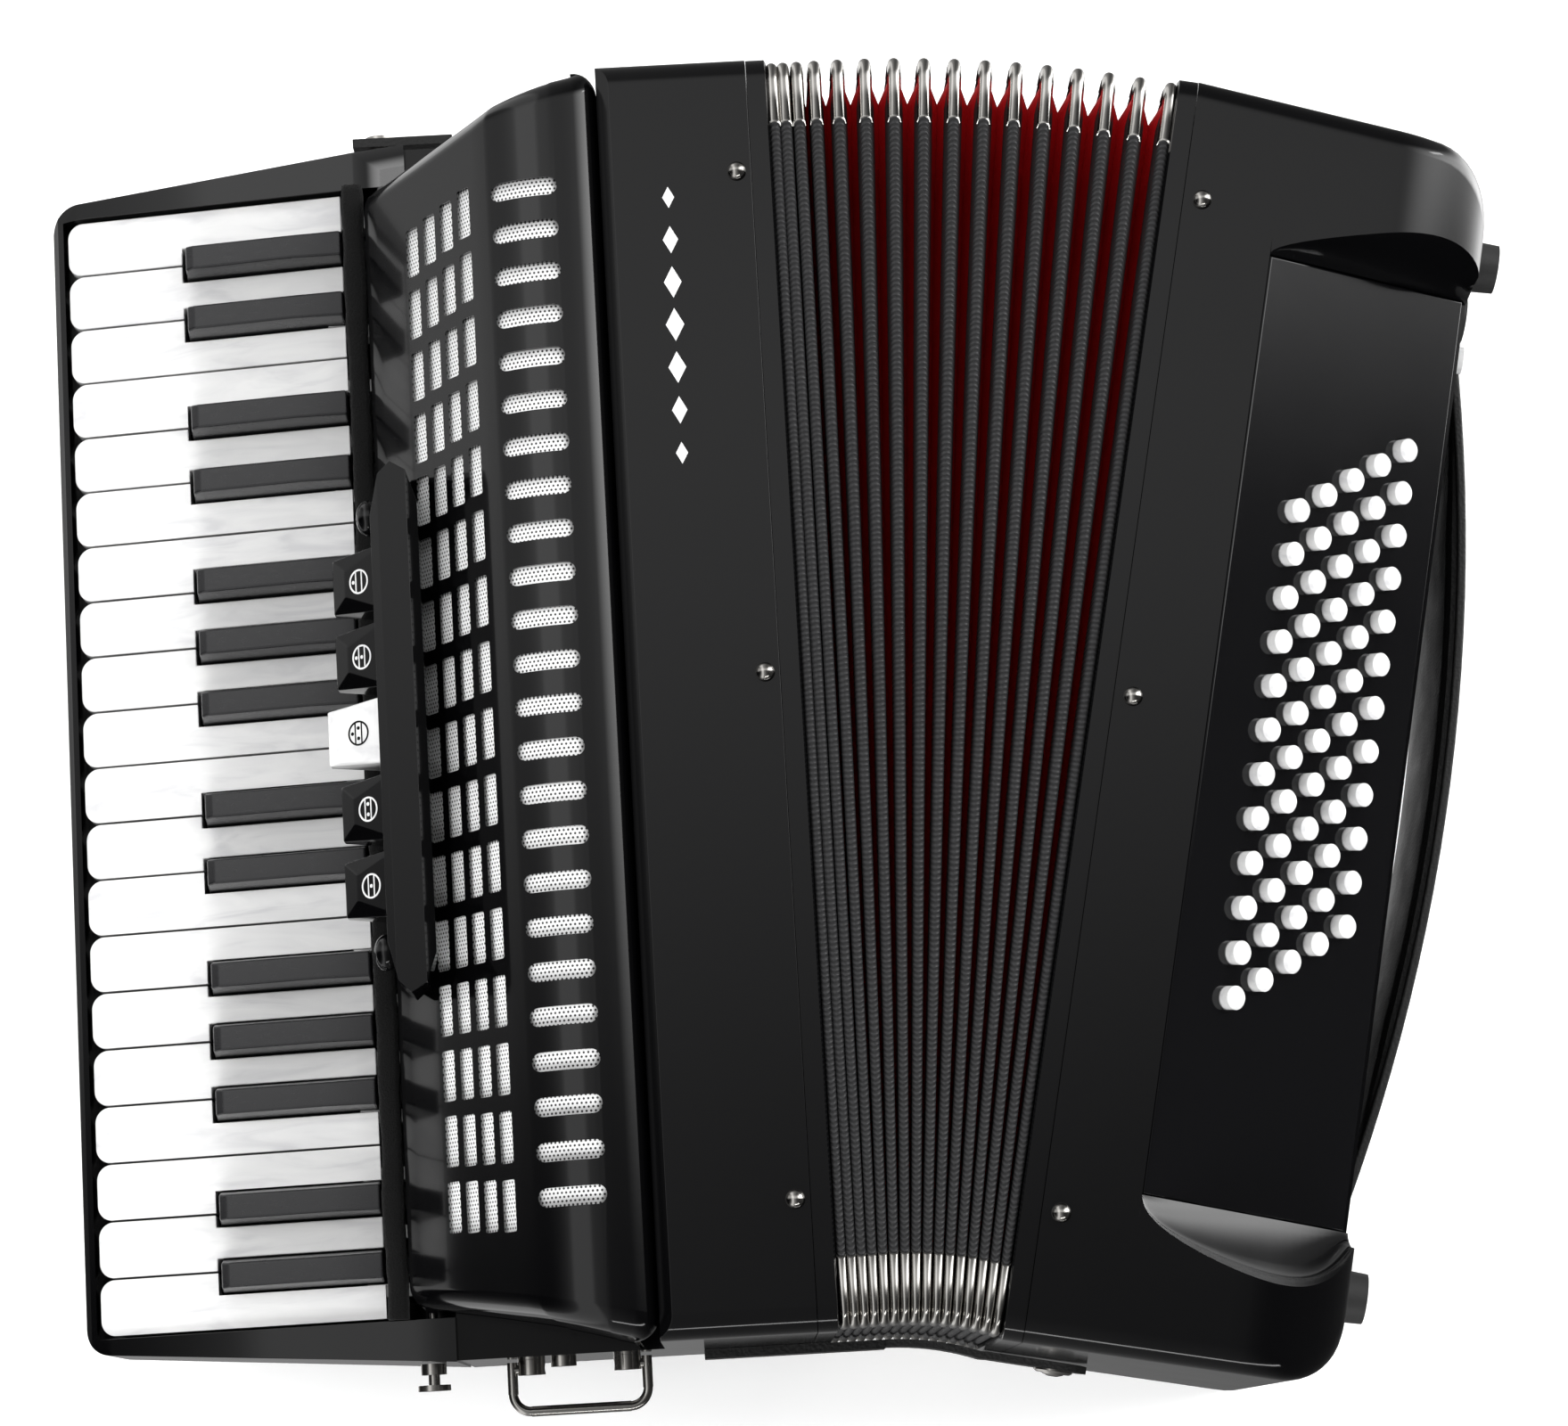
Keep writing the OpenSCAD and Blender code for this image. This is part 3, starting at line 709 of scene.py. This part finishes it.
def grille_stations():
    """The cover's profile from the keyboard to the front block: (x, z, half length)."""
    x0, x1, top = GRILLE0.x, GRILLE1.x, GRILLE1.z
    r = 37 * MM
    cx, cz = x0 + 68 * MM, top - r
    foot = Vector((x0 + 0.5 * MM, top - 71.2 * MM))
    knee = Vector((cx + r * math.cos(math.radians(130)), cz + r * math.sin(math.radians(130))))
    points = [(x0 + 0.2 * MM, top - 73 * MM)]
    points += [tuple(foot.lerp(knee, i / 10)) for i in range(11)]
    points += [(cx + r * math.cos(math.radians(a)), cz + r * math.sin(math.radians(a)))
               for a in range(127, 88, -3)]
    points += [(x1 - 7.5 * MM, top - 0.8 * MM), (x1 - 4.5 * MM, top - 1.9 * MM),
               (x1 - 2 * MM, top - 3.6 * MM), (x1 - 0.6 * MM, top - 5.8 * MM), (x1, top - 9 * MM)]
    return [(x, z, (188 + 16 * ((x - x0) / (x1 - x0)) ** 1.15) * MM) for x, z in points]


def grille_cover():
    """The cover as a smooth skin with round ends, slotted like the real one."""
    stations = grille_stations()
    floor_z = GRILLE0.z
    r = 8 * MM
    verts, faces = [], []
    turns = 8
    for i, (x, z, half) in enumerate(stations):
        before, after = stations[max(i - 1, 0)], stations[min(i + 1, len(stations) - 1)]
        tangent = Vector((after[0] - before[0], after[1] - before[1])).normalized()
        normal = Vector((-tangent.y, tangent.x))
        row = []
        for side in (-1, 1):
            arc = []
            for j in range(turns + 1):
                a = math.radians(90 * j / turns)
                sink = r * (1 - math.cos(a))
                arc.append((x - normal.x * sink, side * (half - r + r * math.sin(a)),
                            z - normal.y * sink))
            arc.append((arc[-1][0], arc[-1][1], min(floor_z, arc[-1][2])))
            row += arc[::-1] if side < 0 else arc
        verts += row
    n = 2 * (turns + 2)
    for i in range(len(stations) - 1):
        for j in range(n - 1):
            faces.append((i * n + j, i * n + j + 1, (i + 1) * n + j + 1, (i + 1) * n + j))
    obj = make("grille_cover", verts, faces, "lacquer")
    recompute_outside(obj.data)
    thick = obj.modifiers.new("thick", "SOLIDIFY")
    thick.thickness = 1.3 * MM
    thick.offset = -1
    flatten(obj)
    cutter = slot_cutter()
    cut = obj.modifiers.new("slots", "BOOLEAN")
    cut.object = cutter
    cut.operation = "DIFFERENCE"
    cut.solver = "EXACT"
    flatten(obj)
    bpy.data.objects.remove(cutter)
    fair(obj, 30)
    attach(obj, TREBLE)
    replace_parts(obj, "treble_grille")


def prism(verts, faces, outline, z0, z1):
    """Adds an upright block with the given outline."""
    base = len(verts)
    n = len(outline)
    verts += [(x, y, z0) for x, y in outline] + [(x, y, z1) for x, y in outline]
    faces.append(tuple(base + i for i in reversed(range(n))))
    faces.append(tuple(base + n + i for i in range(n)))
    for i in range(n):
        j = (i + 1) % n
        faces.append((base + i, base + j, base + n + j, base + n + i))


def rounded(x0, y0, x1, y1, r, per_corner=5):
    """The outline of a rectangle with round corners."""
    points = []
    for cx, cy, start in ((x1 - r, y1 - r, 0), (x0 + r, y1 - r, 90), (x0 + r, y0 + r, 180),
                          (x1 - r, y0 + r, 270)):
        for i in range(per_corner + 1):
            a = math.radians(start + 90 * i / per_corner)
            points.append((cx + r * math.cos(a), cy + r * math.sin(a)))
    return points


def slot_cutter():
    """The 24 rounded slots on the ridge and the 16 rows of four small slots on the slope."""
    verts, faces = [], []
    ridge, length, half, pitch = (a * MM for a in (45.9, 21.6, 3, 14.04))
    for i in range(24):
        x = GRILLE0.x + ridge
        y = 3 * MM + pitch * (11.5 - i)
        outline = rounded(x, y - half, x + length, y + half, 2.9 * MM)
        prism(verts, faces, outline, 130 * MM, 200 * MM)
    for i in range(16):
        for c in range(4):
            x = GRILLE0.x + (15.4 + c * 6.25) * MM
            y = ((21 + 0.15 * c) * (7.5 - i) + 0.4 * c + 0.3) * MM
            outline = rounded(x, y - 8.15 * MM, x + 4.2 * MM, y + 8.15 * MM, 0.7 * MM, 3)
            prism(verts, faces, outline, 112 * MM, 200 * MM)
    mesh = bpy.data.meshes.new("slots")
    mesh.from_pydata(verts, [], faces)
    obj = bpy.data.objects.new("slots", mesh)
    bpy.context.scene.collection.objects.link(obj)
    return obj


def grille_screen():
    """The perforated white screen that lies against the cover's inside."""
    stations = grille_stations()[3:-5]
    verts, faces, along = [], [], []
    run = 0.0
    for i, (x, z, _) in enumerate(stations):
        before, after = stations[max(i - 1, 0)], stations[min(i + 1, len(stations) - 1)]
        tangent = Vector((after[0] - before[0], after[1] - before[1])).normalized()
        if i:
            run += math.hypot(x - stations[i - 1][0], z - stations[i - 1][1])
        for drop in (1.35, 1.9):
            px, pz = x + tangent.y * drop * MM, z - tangent.x * drop * MM
            for y in (-184 * MM, 184 * MM):
                verts.append((px, y, pz))
                along.append((run, y, 0))
    n = len(stations)
    for i in range(n - 1):
        a, b = i * 4, (i + 1) * 4
        faces += [(a, a + 1, b + 1, b), (a + 2, b + 2, b + 3, a + 3),
                  (a, b, b + 2, a + 2), (a + 1, a + 3, b + 3, b + 1)]
    faces += [(0, 2, 3, 1), (n * 4 - 4, n * 4 - 3, n * 4 - 1, n * 4 - 2)]
    obj = make("grille_mesh", verts, faces, "screen")
    keep_run(obj, along)
    recompute_outside(obj.data)
    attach(obj, TREBLE)
    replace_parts(obj, "grille_screen")


def register_cap(name, middle):
    """A switch's faceted cap: a sloping face for the symbol between two bevels."""
    low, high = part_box(name)
    y, x0, x1 = (low.y + high.y) / 2, low.x, high.x
    w = (high.y - low.y) / 2
    face = 8.6 * MM if middle else 4.4 * MM
    rows = [  # x, half width, z
        (x1 - 2 * MM, w - 0.4 * MM, high.z - 0.2 * MM), (x0 + 5.2 * MM, face, high.z - 11 * MM),
        (x0 + 0.9 * MM, w - 2.6 * MM, high.z - 16.5 * MM), (x1 - 2 * MM, w - 0.1 * MM, high.z - 9 * MM),
        (x0 + 1 * MM, w - 2.6 * MM, high.z - 21.5 * MM), (x1 - 2 * MM, w - 0.1 * MM, high.z - 19 * MM)]
    verts = [(x, y + side * half, z) for x, half, z in rows for side in (1, -1)]
    faces = [(0, 2, 3, 1), (2, 4, 5, 3), (4, 8, 9, 5), (8, 10, 11, 9), (0, 1, 7, 6),
             (6, 7, 11, 10), (0, 6, 4), (0, 4, 2), (6, 10, 8, 4), (1, 5, 7), (1, 3, 5),
             (7, 5, 9, 11)]
    slot = "register_white" if middle else "register_black"
    obj = make(name + "_cap", verts, faces, slot)
    recompute_outside(obj.data)
    edge = obj.modifiers.new("edge", "BEVEL")
    edge.width = 0.5 * MM
    edge.segments = 3
    edge.limit_method = "ANGLE"
    edge.angle_limit = math.radians(12)
    flatten(obj)
    fair(obj, 30)
    body = frame["nodes"][name]["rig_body"]
    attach(obj, body)
    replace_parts(obj, name)
    top, foot = Vector((rows[0][0], y, rows[0][2])), Vector((rows[1][0], y, rows[1][2]))
    return foot, (top - foot).normalized(), body


def disc(verts, faces, place, outer, inner=0.0, turns=32):
    """A flat ring or a full disc, in the symbol's own plane."""
    base = len(verts)
    for i in range(turns):
        a = math.tau * i / turns
        verts.append((place[0] + outer * math.cos(a), place[1] + outer * math.sin(a)))
        if inner:
            verts.append((place[0] + inner * math.cos(a), place[1] + inner * math.sin(a)))
    if inner:
        for i in range(turns):
            a, b = base + 2 * i, base + 2 * ((i + 1) % turns)
            faces.append((a, b, b + 1, a + 1))
    else:
        faces.append(tuple(range(base, base + turns)))


SYMBOLS = {  # dots in the three fields of the circle, across and along
    1: [(-2.4, 0)], 2: [(-2.4, 0), (0, 0)], 3: [(-2.4, 0), (0, 1.7), (0, -1.7)],
    4: [(0, 1.7), (0, -1.7)], 5: [(0, 0)]}


def register_symbol(number, foot, slope, body):
    """The plain sign for the reeds in use: a circle of three fields with dots."""
    flat, faces = [], []
    disc(flat, faces, (0, 0), 4.1 * MM, 3.5 * MM)
    for across in (-1.25 * MM, 1.25 * MM):
        base = len(flat)
        half = math.sqrt((3.6 * MM) ** 2 - across ** 2)
        flat += [(across + sx * 0.24 * MM, sy * half)
                 for sx, sy in ((-1, -1), (1, -1), (1, 1), (-1, 1))]
        faces.append((base, base + 1, base + 2, base + 3))
    for across, along in SYMBOLS[number]:
        disc(flat, faces, (across * MM, along * MM), 0.6 * MM, turns=16)
    normal = slope.cross(Vector((0, 1, 0)))
    center = foot + slope * (7.4 if number == 3 else 6.2) * MM + normal * 0.06 * MM
    verts = [center + slope * a + Vector((0, b, 0)) for a, b in flat]
    mat = "register_black" if number == 3 else "register_white"
    obj = make(f"register_symbol_{number}", verts, faces, mat)
    thick = obj.modifiers.new("thick", "SOLIDIFY")
    thick.thickness = 0.14 * MM
    thick.offset = 0
    flatten(obj)
    recompute_outside(obj.data)
    fair(obj)
    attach(obj, body)


def dome(name, place, radii, mat, body):
    """A round boss with three radii."""
    verts = []
    rows, turns = 12, 24
    for i in range(1, rows):
        a = math.pi * i / rows
        verts += [(place[0] + radii[0] * math.sin(a) * math.cos(math.tau * j / turns),
                   place[1] + radii[1] * math.sin(a) * math.sin(math.tau * j / turns),
                   place[2] + radii[2] * math.cos(a)) for j in range(turns)]
    obj = make(name, verts, tube(rows - 1, turns), mat)
    recompute_outside(obj.data)
    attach(obj, body)


def registers():
    softened("register_rail", "register_rail_shell", "lacquer", 0.9 * MM, steps=4)
    low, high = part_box("register_rail")
    for i, y in enumerate((low.y + 15 * MM, high.y - 15 * MM)):
        dome(f"register_rail_end_{i + 1}", (low.x - 1.4 * MM, y, high.z - 17 * MM),
             (4.2 * MM, 6 * MM, 6 * MM), "lacquer", TREBLE)
    for name in REGISTERS:
        number = int(name[-1])
        register_symbol(number, *register_cap(name, number == 3))


def ornament():
    """A plain row of inlaid lozenges on the treble casing's front."""
    verts, faces = [], []
    x = CASE1.x - 27 * MM
    for i in range(7):
        y = (158 - 14 * i) * MM
        half = (3 + 2.4 * math.sin(math.pi * (i + 0.5) / 7)) * MM
        base = len(verts)
        for z in (CASE1.z - 0.2 * MM, CASE1.z + 0.12 * MM):
            verts += [(x - 0.55 * half, y, z), (x, y - half, z), (x + 0.55 * half, y, z),
                      (x, y + half, z)]
        faces += slab(base)
    obj = make("casing_inlay", verts, faces, "register_white")
    fair(obj)
    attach(obj, TREBLE)


# ---------------------------------------------------------------- bass side

# u is the distance from the bellows, v the place along the row of buttons
BASS_W = BCASE1.x - BCASE0.x
PANEL_U = (30 * MM, 100 * MM)
PANEL_Z = (DEPTH - 1 * MM, DEPTH - 53 * MM)
PANEL_V0 = (-154 * MM, 149 * MM)
PANEL_V1 = (-152.5 * MM, 158 * MM)
CORNER = 22 * MM
CHEEK_R = 34 * MM


def cheek_top(u):
    """Height of the casing's front face, which rolls over at the outer edge."""
    over = max(0.0, u - (BASS_W - CHEEK_R))
    return DEPTH - CHEEK_R + math.sqrt(max(CHEEK_R ** 2 - over ** 2, 0))


def cheek_foot(u):
    """Height of the casing's back face, with its small round at the outer edge."""
    over = max(0.0, u - (BASS_W - 10 * MM))
    return 10 * MM - math.sqrt(max((10 * MM) ** 2 - over ** 2, 0))


def half_width(u, side):
    """The bass casing's reach on one side, with its round outer corner."""
    taper = (7.5 if side > 0 else 0.5) * MM
    edge = HALF_H - taper * min(1, u / (BASS_W - CORNER))
    over = max(0.0, u - (BASS_W - CORNER))
    return edge - CORNER + math.sqrt(max(CORNER ** 2 - over ** 2, 0))


def along_panel(u):
    """Share of the way down the slanted button panel."""
    return max(0.0, (u - PANEL_U[0]) / (PANEL_U[1] - PANEL_U[0]))


def panel_top(u):
    return PANEL_Z[0] + (PANEL_Z[1] - PANEL_Z[0]) * along_panel(u)


def panel_edge(u, side):
    """How far from the middle the panel ends on one side."""
    near, far = PANEL_V0[side > 0], PANEL_V1[side > 0]
    return abs(near + (far - near) * along_panel(u))


def scoop_width(u, side):
    """How far the hollow beside the button panel reaches into a cheek."""
    q = (u - PANEL_U[0]) / (BASS_W - PANEL_U[0])
    return (11 if side > 0 else 29) * MM * math.sqrt(q) * (1 - 0.8 * q ** 6)


def cheek_section(u, side):
    """One side of the casing's outline, as (distance from the middle, z), back to front."""
    r = 8 * MM
    half, foot, top = half_width(u, side), cheek_foot(u), cheek_top(u)
    line = [(half - r + r * math.sin(a), foot + r - r * math.cos(a))
            for a in (math.radians(15 * i) for i in range(7))]
    line += [(half - r + r * math.cos(a), top - r + r * math.sin(a))
             for a in (math.radians(15 * i) for i in range(7))]
    inside = u > PANEL_U[0]
    edge = panel_edge(u, side) + 0.3 * MM
    reach = scoop_width(u, side) if inside else 8 * MM
    low = panel_top(u) if inside else top
    for i in range(9):
        t = 1 - i / 8
        lift = 0.35 * t + 0.65 * (1 - math.sqrt(1 - t * t))
        line.append((edge + reach * t, low + (top - low) * lift))
    floor = low - 3.9 * MM if inside else top
    return line + [(edge - 0.25 * MM, floor), (edge / 2, floor)]


def bass_section(u):
    """The casing's outline at one distance from the bellows, as (v, z)."""
    return cheek_section(u, 1) + [(-v, z) for v, z in reversed(cheek_section(u, -1))]


def bass_casing():
    """The casing as one lofted shell, whose cheeks are scooped out beside the panel."""
    stations = [i * MM for i in (0, 10, 20, 29.9, 30.1, 31, 33, 36, 40, 45, 50, 56, 62)]
    stations += [BASS_W - CHEEK_R + CHEEK_R * math.sin(math.radians(a)) for a in range(0, 85, 6)]
    stations += [BASS_W - 0.07 * MM, BASS_W - 0.02 * MM, BASS_W]
    verts = []
    for u in stations:
        verts += [fanned((BCASE0.x + u, v, z), 1) for v, z in bass_section(u)]
    faces = tube(len(stations), len(verts) // len(stations))
    obj = make("bass_casing_shell", verts, faces, "lacquer")
    recompute_outside(obj.data)
    fair(obj, 32)
    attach(obj, BASS)
    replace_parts(obj, "bass_casing")


STRAP_R = 672.5 * MM


def strap_point(v, lift):
    """A point of the hand strap's curve, lift outside of its outer face."""
    r = STRAP_R + lift
    return 121 * MM - STRAP_R + math.sqrt(r ** 2 - (v - 5 * MM) ** 2)


def hand_strap_padding():
    """A soft lining on the strap's inner face, and stitches along both its edges."""
    verts = []
    rows = 40
    section = [(0, 14), (1.6, 14.6), (3.1, 19), (3.6, 30), (3.8, 52), (3.6, 74), (3.1, 85),
               (1.6, 89.4), (0, 90)]
    for i in range(rows + 1):
        v = (-122 + 254 * i / rows) * MM
        thin = min(1, 0.15 + 5 * min(i, rows - i) / rows)
        for drop, z in section:
            u = strap_point(v, (-2.95 - drop * thin) * MM)
            verts.append(fanned((BCASE0.x + u, v, z * MM), 1))
    obj = make("bass_strap_padding", verts, tube(rows + 1, len(section)), "leather")
    recompute_outside(obj.data)
    fair(obj, 40)
    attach(obj, BASS)
    verts, faces = [], []
    for i in range(88):
        for z in (15.5, 88.5):
            v = (-138.6 + 3.3 * i) * MM
            base = len(verts)
            for dv, dz, lift in ((-1, -0.3, -0.2), (1, -0.3, -0.2), (1, 0.3, -0.2), (-1, 0.3, -0.2),
                                 (-0.8, -0.2, 0.25), (0.8, -0.2, 0.25), (0.8, 0.2, 0.25),
                                 (-0.8, 0.2, 0.25)):
                y = v + dv * MM
                verts.append(fanned((BCASE0.x + strap_point(y, lift * MM), y, (z + dz) * MM), 1))
            faces += slab(base)
    obj = make("bass_strap_stitches", verts, faces, "felt")
    recompute_outside(obj.data)
    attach(obj, BASS)


def closing_strap():
    """The leather strap across the bellows' narrow side, which ends in a snap."""
    verts, weights = [], []
    steps = 44
    x0, x1 = CASE1.x - 14 * MM, CASE1.x + 92 * MM
    for i in range(steps + 1):
        x = x0 + (x1 - x0) * i / steps
        t = min(max((x - TREBLE_FACE) / CLOSED_W, 0), 1)
        share = share_of(t * PLEATS - 0.5) if 0 < t < 1 else t
        end = 8 * MM - math.sqrt(max((8 * MM) ** 2 - max(0, x - x1 + 8 * MM) ** 2, 0))
        for out, z in ((0.4, 53 * MM + end), (2.9, 53.5 * MM + end), (2.9, 68.5 * MM - end),
                       (0.4, 69 * MM - end)):
            verts.append(fanned((x, -HALF_H - out * MM, z), share))
            weights.append(share)
    obj = make("closing_strap_leather", verts, tube(steps + 1, 4), "leather")
    recompute_outside(obj.data)
    fair(obj, 40)
    bent(obj)
    verts = []
    center = Vector((x1 - 11 * MM, -HALF_H - 2.6 * MM, 61 * MM))
    rings = [(6.5, 0), (6.5, 0.9), (5.6, 1.5), (4.2, 1.2), (3.4, 1.9), (1.6, 2.5)]
    turns = 28
    for r, out in rings:
        for j in range(turns):
            a = math.tau * j / turns
            verts.append(fanned((center.x + r * MM * math.cos(a), center.y - out * MM,
                                 center.z + r * MM * math.sin(a)), 1))
    obj = make("closing_strap_snap", verts, tube(len(rings), turns), "nickel")
    recompute_outside(obj.data)
    fair(obj, 40)
    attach(obj, BASS)


def bass_side():
    bass_casing()
    softened("bass_button_panel", "bass_panel_plate", "panel", 0.8 * MM,
             lambda a, b: (a - b).length > 30 * MM, steps=3)
    for name in ("bass_note_buttons", "chord_buttons", "air_button"):
        softened(name, name + "_caps", "bass_button", 0.35 * MM, steps=2)
    softened("bass_strap", "bass_strap_leather", "leather", 0.9 * MM, steps=2)
    hand_strap_padding()
    softened("bass_feet", "bass_feet_rubber", "rubber", 0.8 * MM, steps=3)


# ---------------------------------------------------------------- floor, lights, camera

def falloff(tree, axis, stops, mode):
    """A brightness that follows one axis of the direction, from -1 to 1, as (place, tone)."""
    spread = tree.nodes.new("ShaderNodeMapRange")
    spread.inputs["From Min"].default_value = -1
    tree.links.new(axis, spread.inputs["Value"])
    tones = tree.nodes.new("ShaderNodeValToRGB")
    points = tones.color_ramp.elements
    tones.color_ramp.interpolation = mode
    while len(points) < len(stops):
        points.new(0.5)
    for point, (place, tone) in zip(points, stops):
        point.position = (place + 1) / 2
        point.color = (tone, tone, tone, 1)
    tree.links.new(spread.outputs["Result"], tones.inputs["Fac"])
    return tones.outputs["Color"]


def sky(world):
    """A dark room: light low on the far side, most so at the right, and a band at the left."""
    world.use_nodes = True
    tree = world.node_tree
    back = tree.nodes["Background"]
    back.inputs["Color"].default_value = (1, 1, 1, 1)
    place = tree.nodes.new("ShaderNodeTexCoord")
    split = tree.nodes.new("ShaderNodeSeparateXYZ")
    tree.links.new(place.outputs["Generated"], split.inputs["Vector"])
    far = falloff(tree, split.outputs["Y"], ((0.02, 0.005), (0.26, 0.6), (0.42, 0.5), (0.7, 0.04)),
                  "EASE")
    right = falloff(tree, split.outputs["X"], ((0.25, 1), (0.95, 9)), "EASE")
    band = falloff(tree, split.outputs["X"], ((-0.68, 0), (-0.54, 2.6), (-0.48, 2.6), (-0.32, 0)),
                   "B_SPLINE")
    both = tree.nodes.new("ShaderNodeMath")
    both.operation = "MULTIPLY_ADD"
    for socket, value in zip(both.inputs, (far, right, band)):
        tree.links.new(value, socket)
    tree.links.new(both.outputs["Value"], back.inputs["Strength"])


def studio():
    """The pale floor, the room and the lights."""
    bpy.ops.mesh.primitive_plane_add(size=12, location=(0, 0, -0.5 * MM))
    floor = bpy.context.object
    floor.name = "floor"
    white = material("floor_white", (0.96, 0.96, 0.96), 0.9, Specular_IOR_Level=0.1,
                     Emission_Color=(1, 1, 1, 1), Emission_Strength=0.22)
    floor.data.materials.append(white)
    floor.visible_glossy = False
    world = bpy.data.worlds.new("studio")
    bpy.context.scene.world = world
    sky(world)
    # the four broad lights are soft fill, and the strips are what the lacquer shows
    for name, place, target, size, power, shows in (
            ("left", (-2.2, 0.3, 1.5), (-0.1, 0, 0.1), (1.2, 2.6), 44, False),
            ("right", (2.3, 0.4, 1.5), (0.15, 0, 0.1), (1.2, 2.6), 54, False),
            ("far", (0.1, 2.4, 1.6), (0, 0, 0.1), (3.0, 0.9), 44, False),
            ("near", (0, -2.4, 1.4), (0, 0, 0.1), (3.0, 0.9), 62, False),
            ("strip_right", (2.4, 1.6, 1.3), (0, 0, 0.1), (0.25, 0.9), 5, True),
            ("strip_near", (0.5, -2.2, 1.0), (0, 0, 0.1), (1.8, 0.2), 7, True)):
        lamp = bpy.data.lights.new(name, "AREA")
        lamp.shape = "RECTANGLE"
        lamp.size, lamp.size_y = size
        lamp.energy = power
        obj = bpy.data.objects.new(name, lamp)
        obj.location = place
        obj.rotation_euler = (Vector(target) - Vector(place)).to_track_quat("-Z", "Y").to_euler()
        obj.visible_glossy = shows
        bpy.context.scene.collection.objects.link(obj)


def camera():
    """Looks down on the front, from a little towards the strap ring's side."""
    tilt, swing, roll = (math.radians(a) for a in (-9.65, 1.04, 3.31))
    turn = Matrix.Rotation(roll, 3, "Z") @ Matrix.Rotation(tilt, 3, "X") @ Matrix.Rotation(swing, 3, "Y")
    target, distance = Vector((61 * MM, 11.7 * MM, 49 * MM)), 1.538
    cam = bpy.data.cameras.new("camera")
    cam.sensor_fit = "HORIZONTAL"
    cam.sensor_width = 36
    cam.lens = 102.3
    obj = bpy.data.objects.new("camera", cam)
    place = target + turn.transposed() @ Vector((0, 0, distance))
    obj.matrix_world = Matrix.Translation(place) @ turn.transposed().to_4x4()
    bpy.context.scene.collection.objects.link(obj)
    bpy.context.scene.camera = obj
    bpy.context.scene.view_settings.view_transform = "Standard"


camera()
studio()
finish_cad_nodes()
bellows()
keyboard()
felt_strip()
treble_casing()
grille_cover()
grille_screen()
registers()
ornament()
bass_side()
closing_strap()
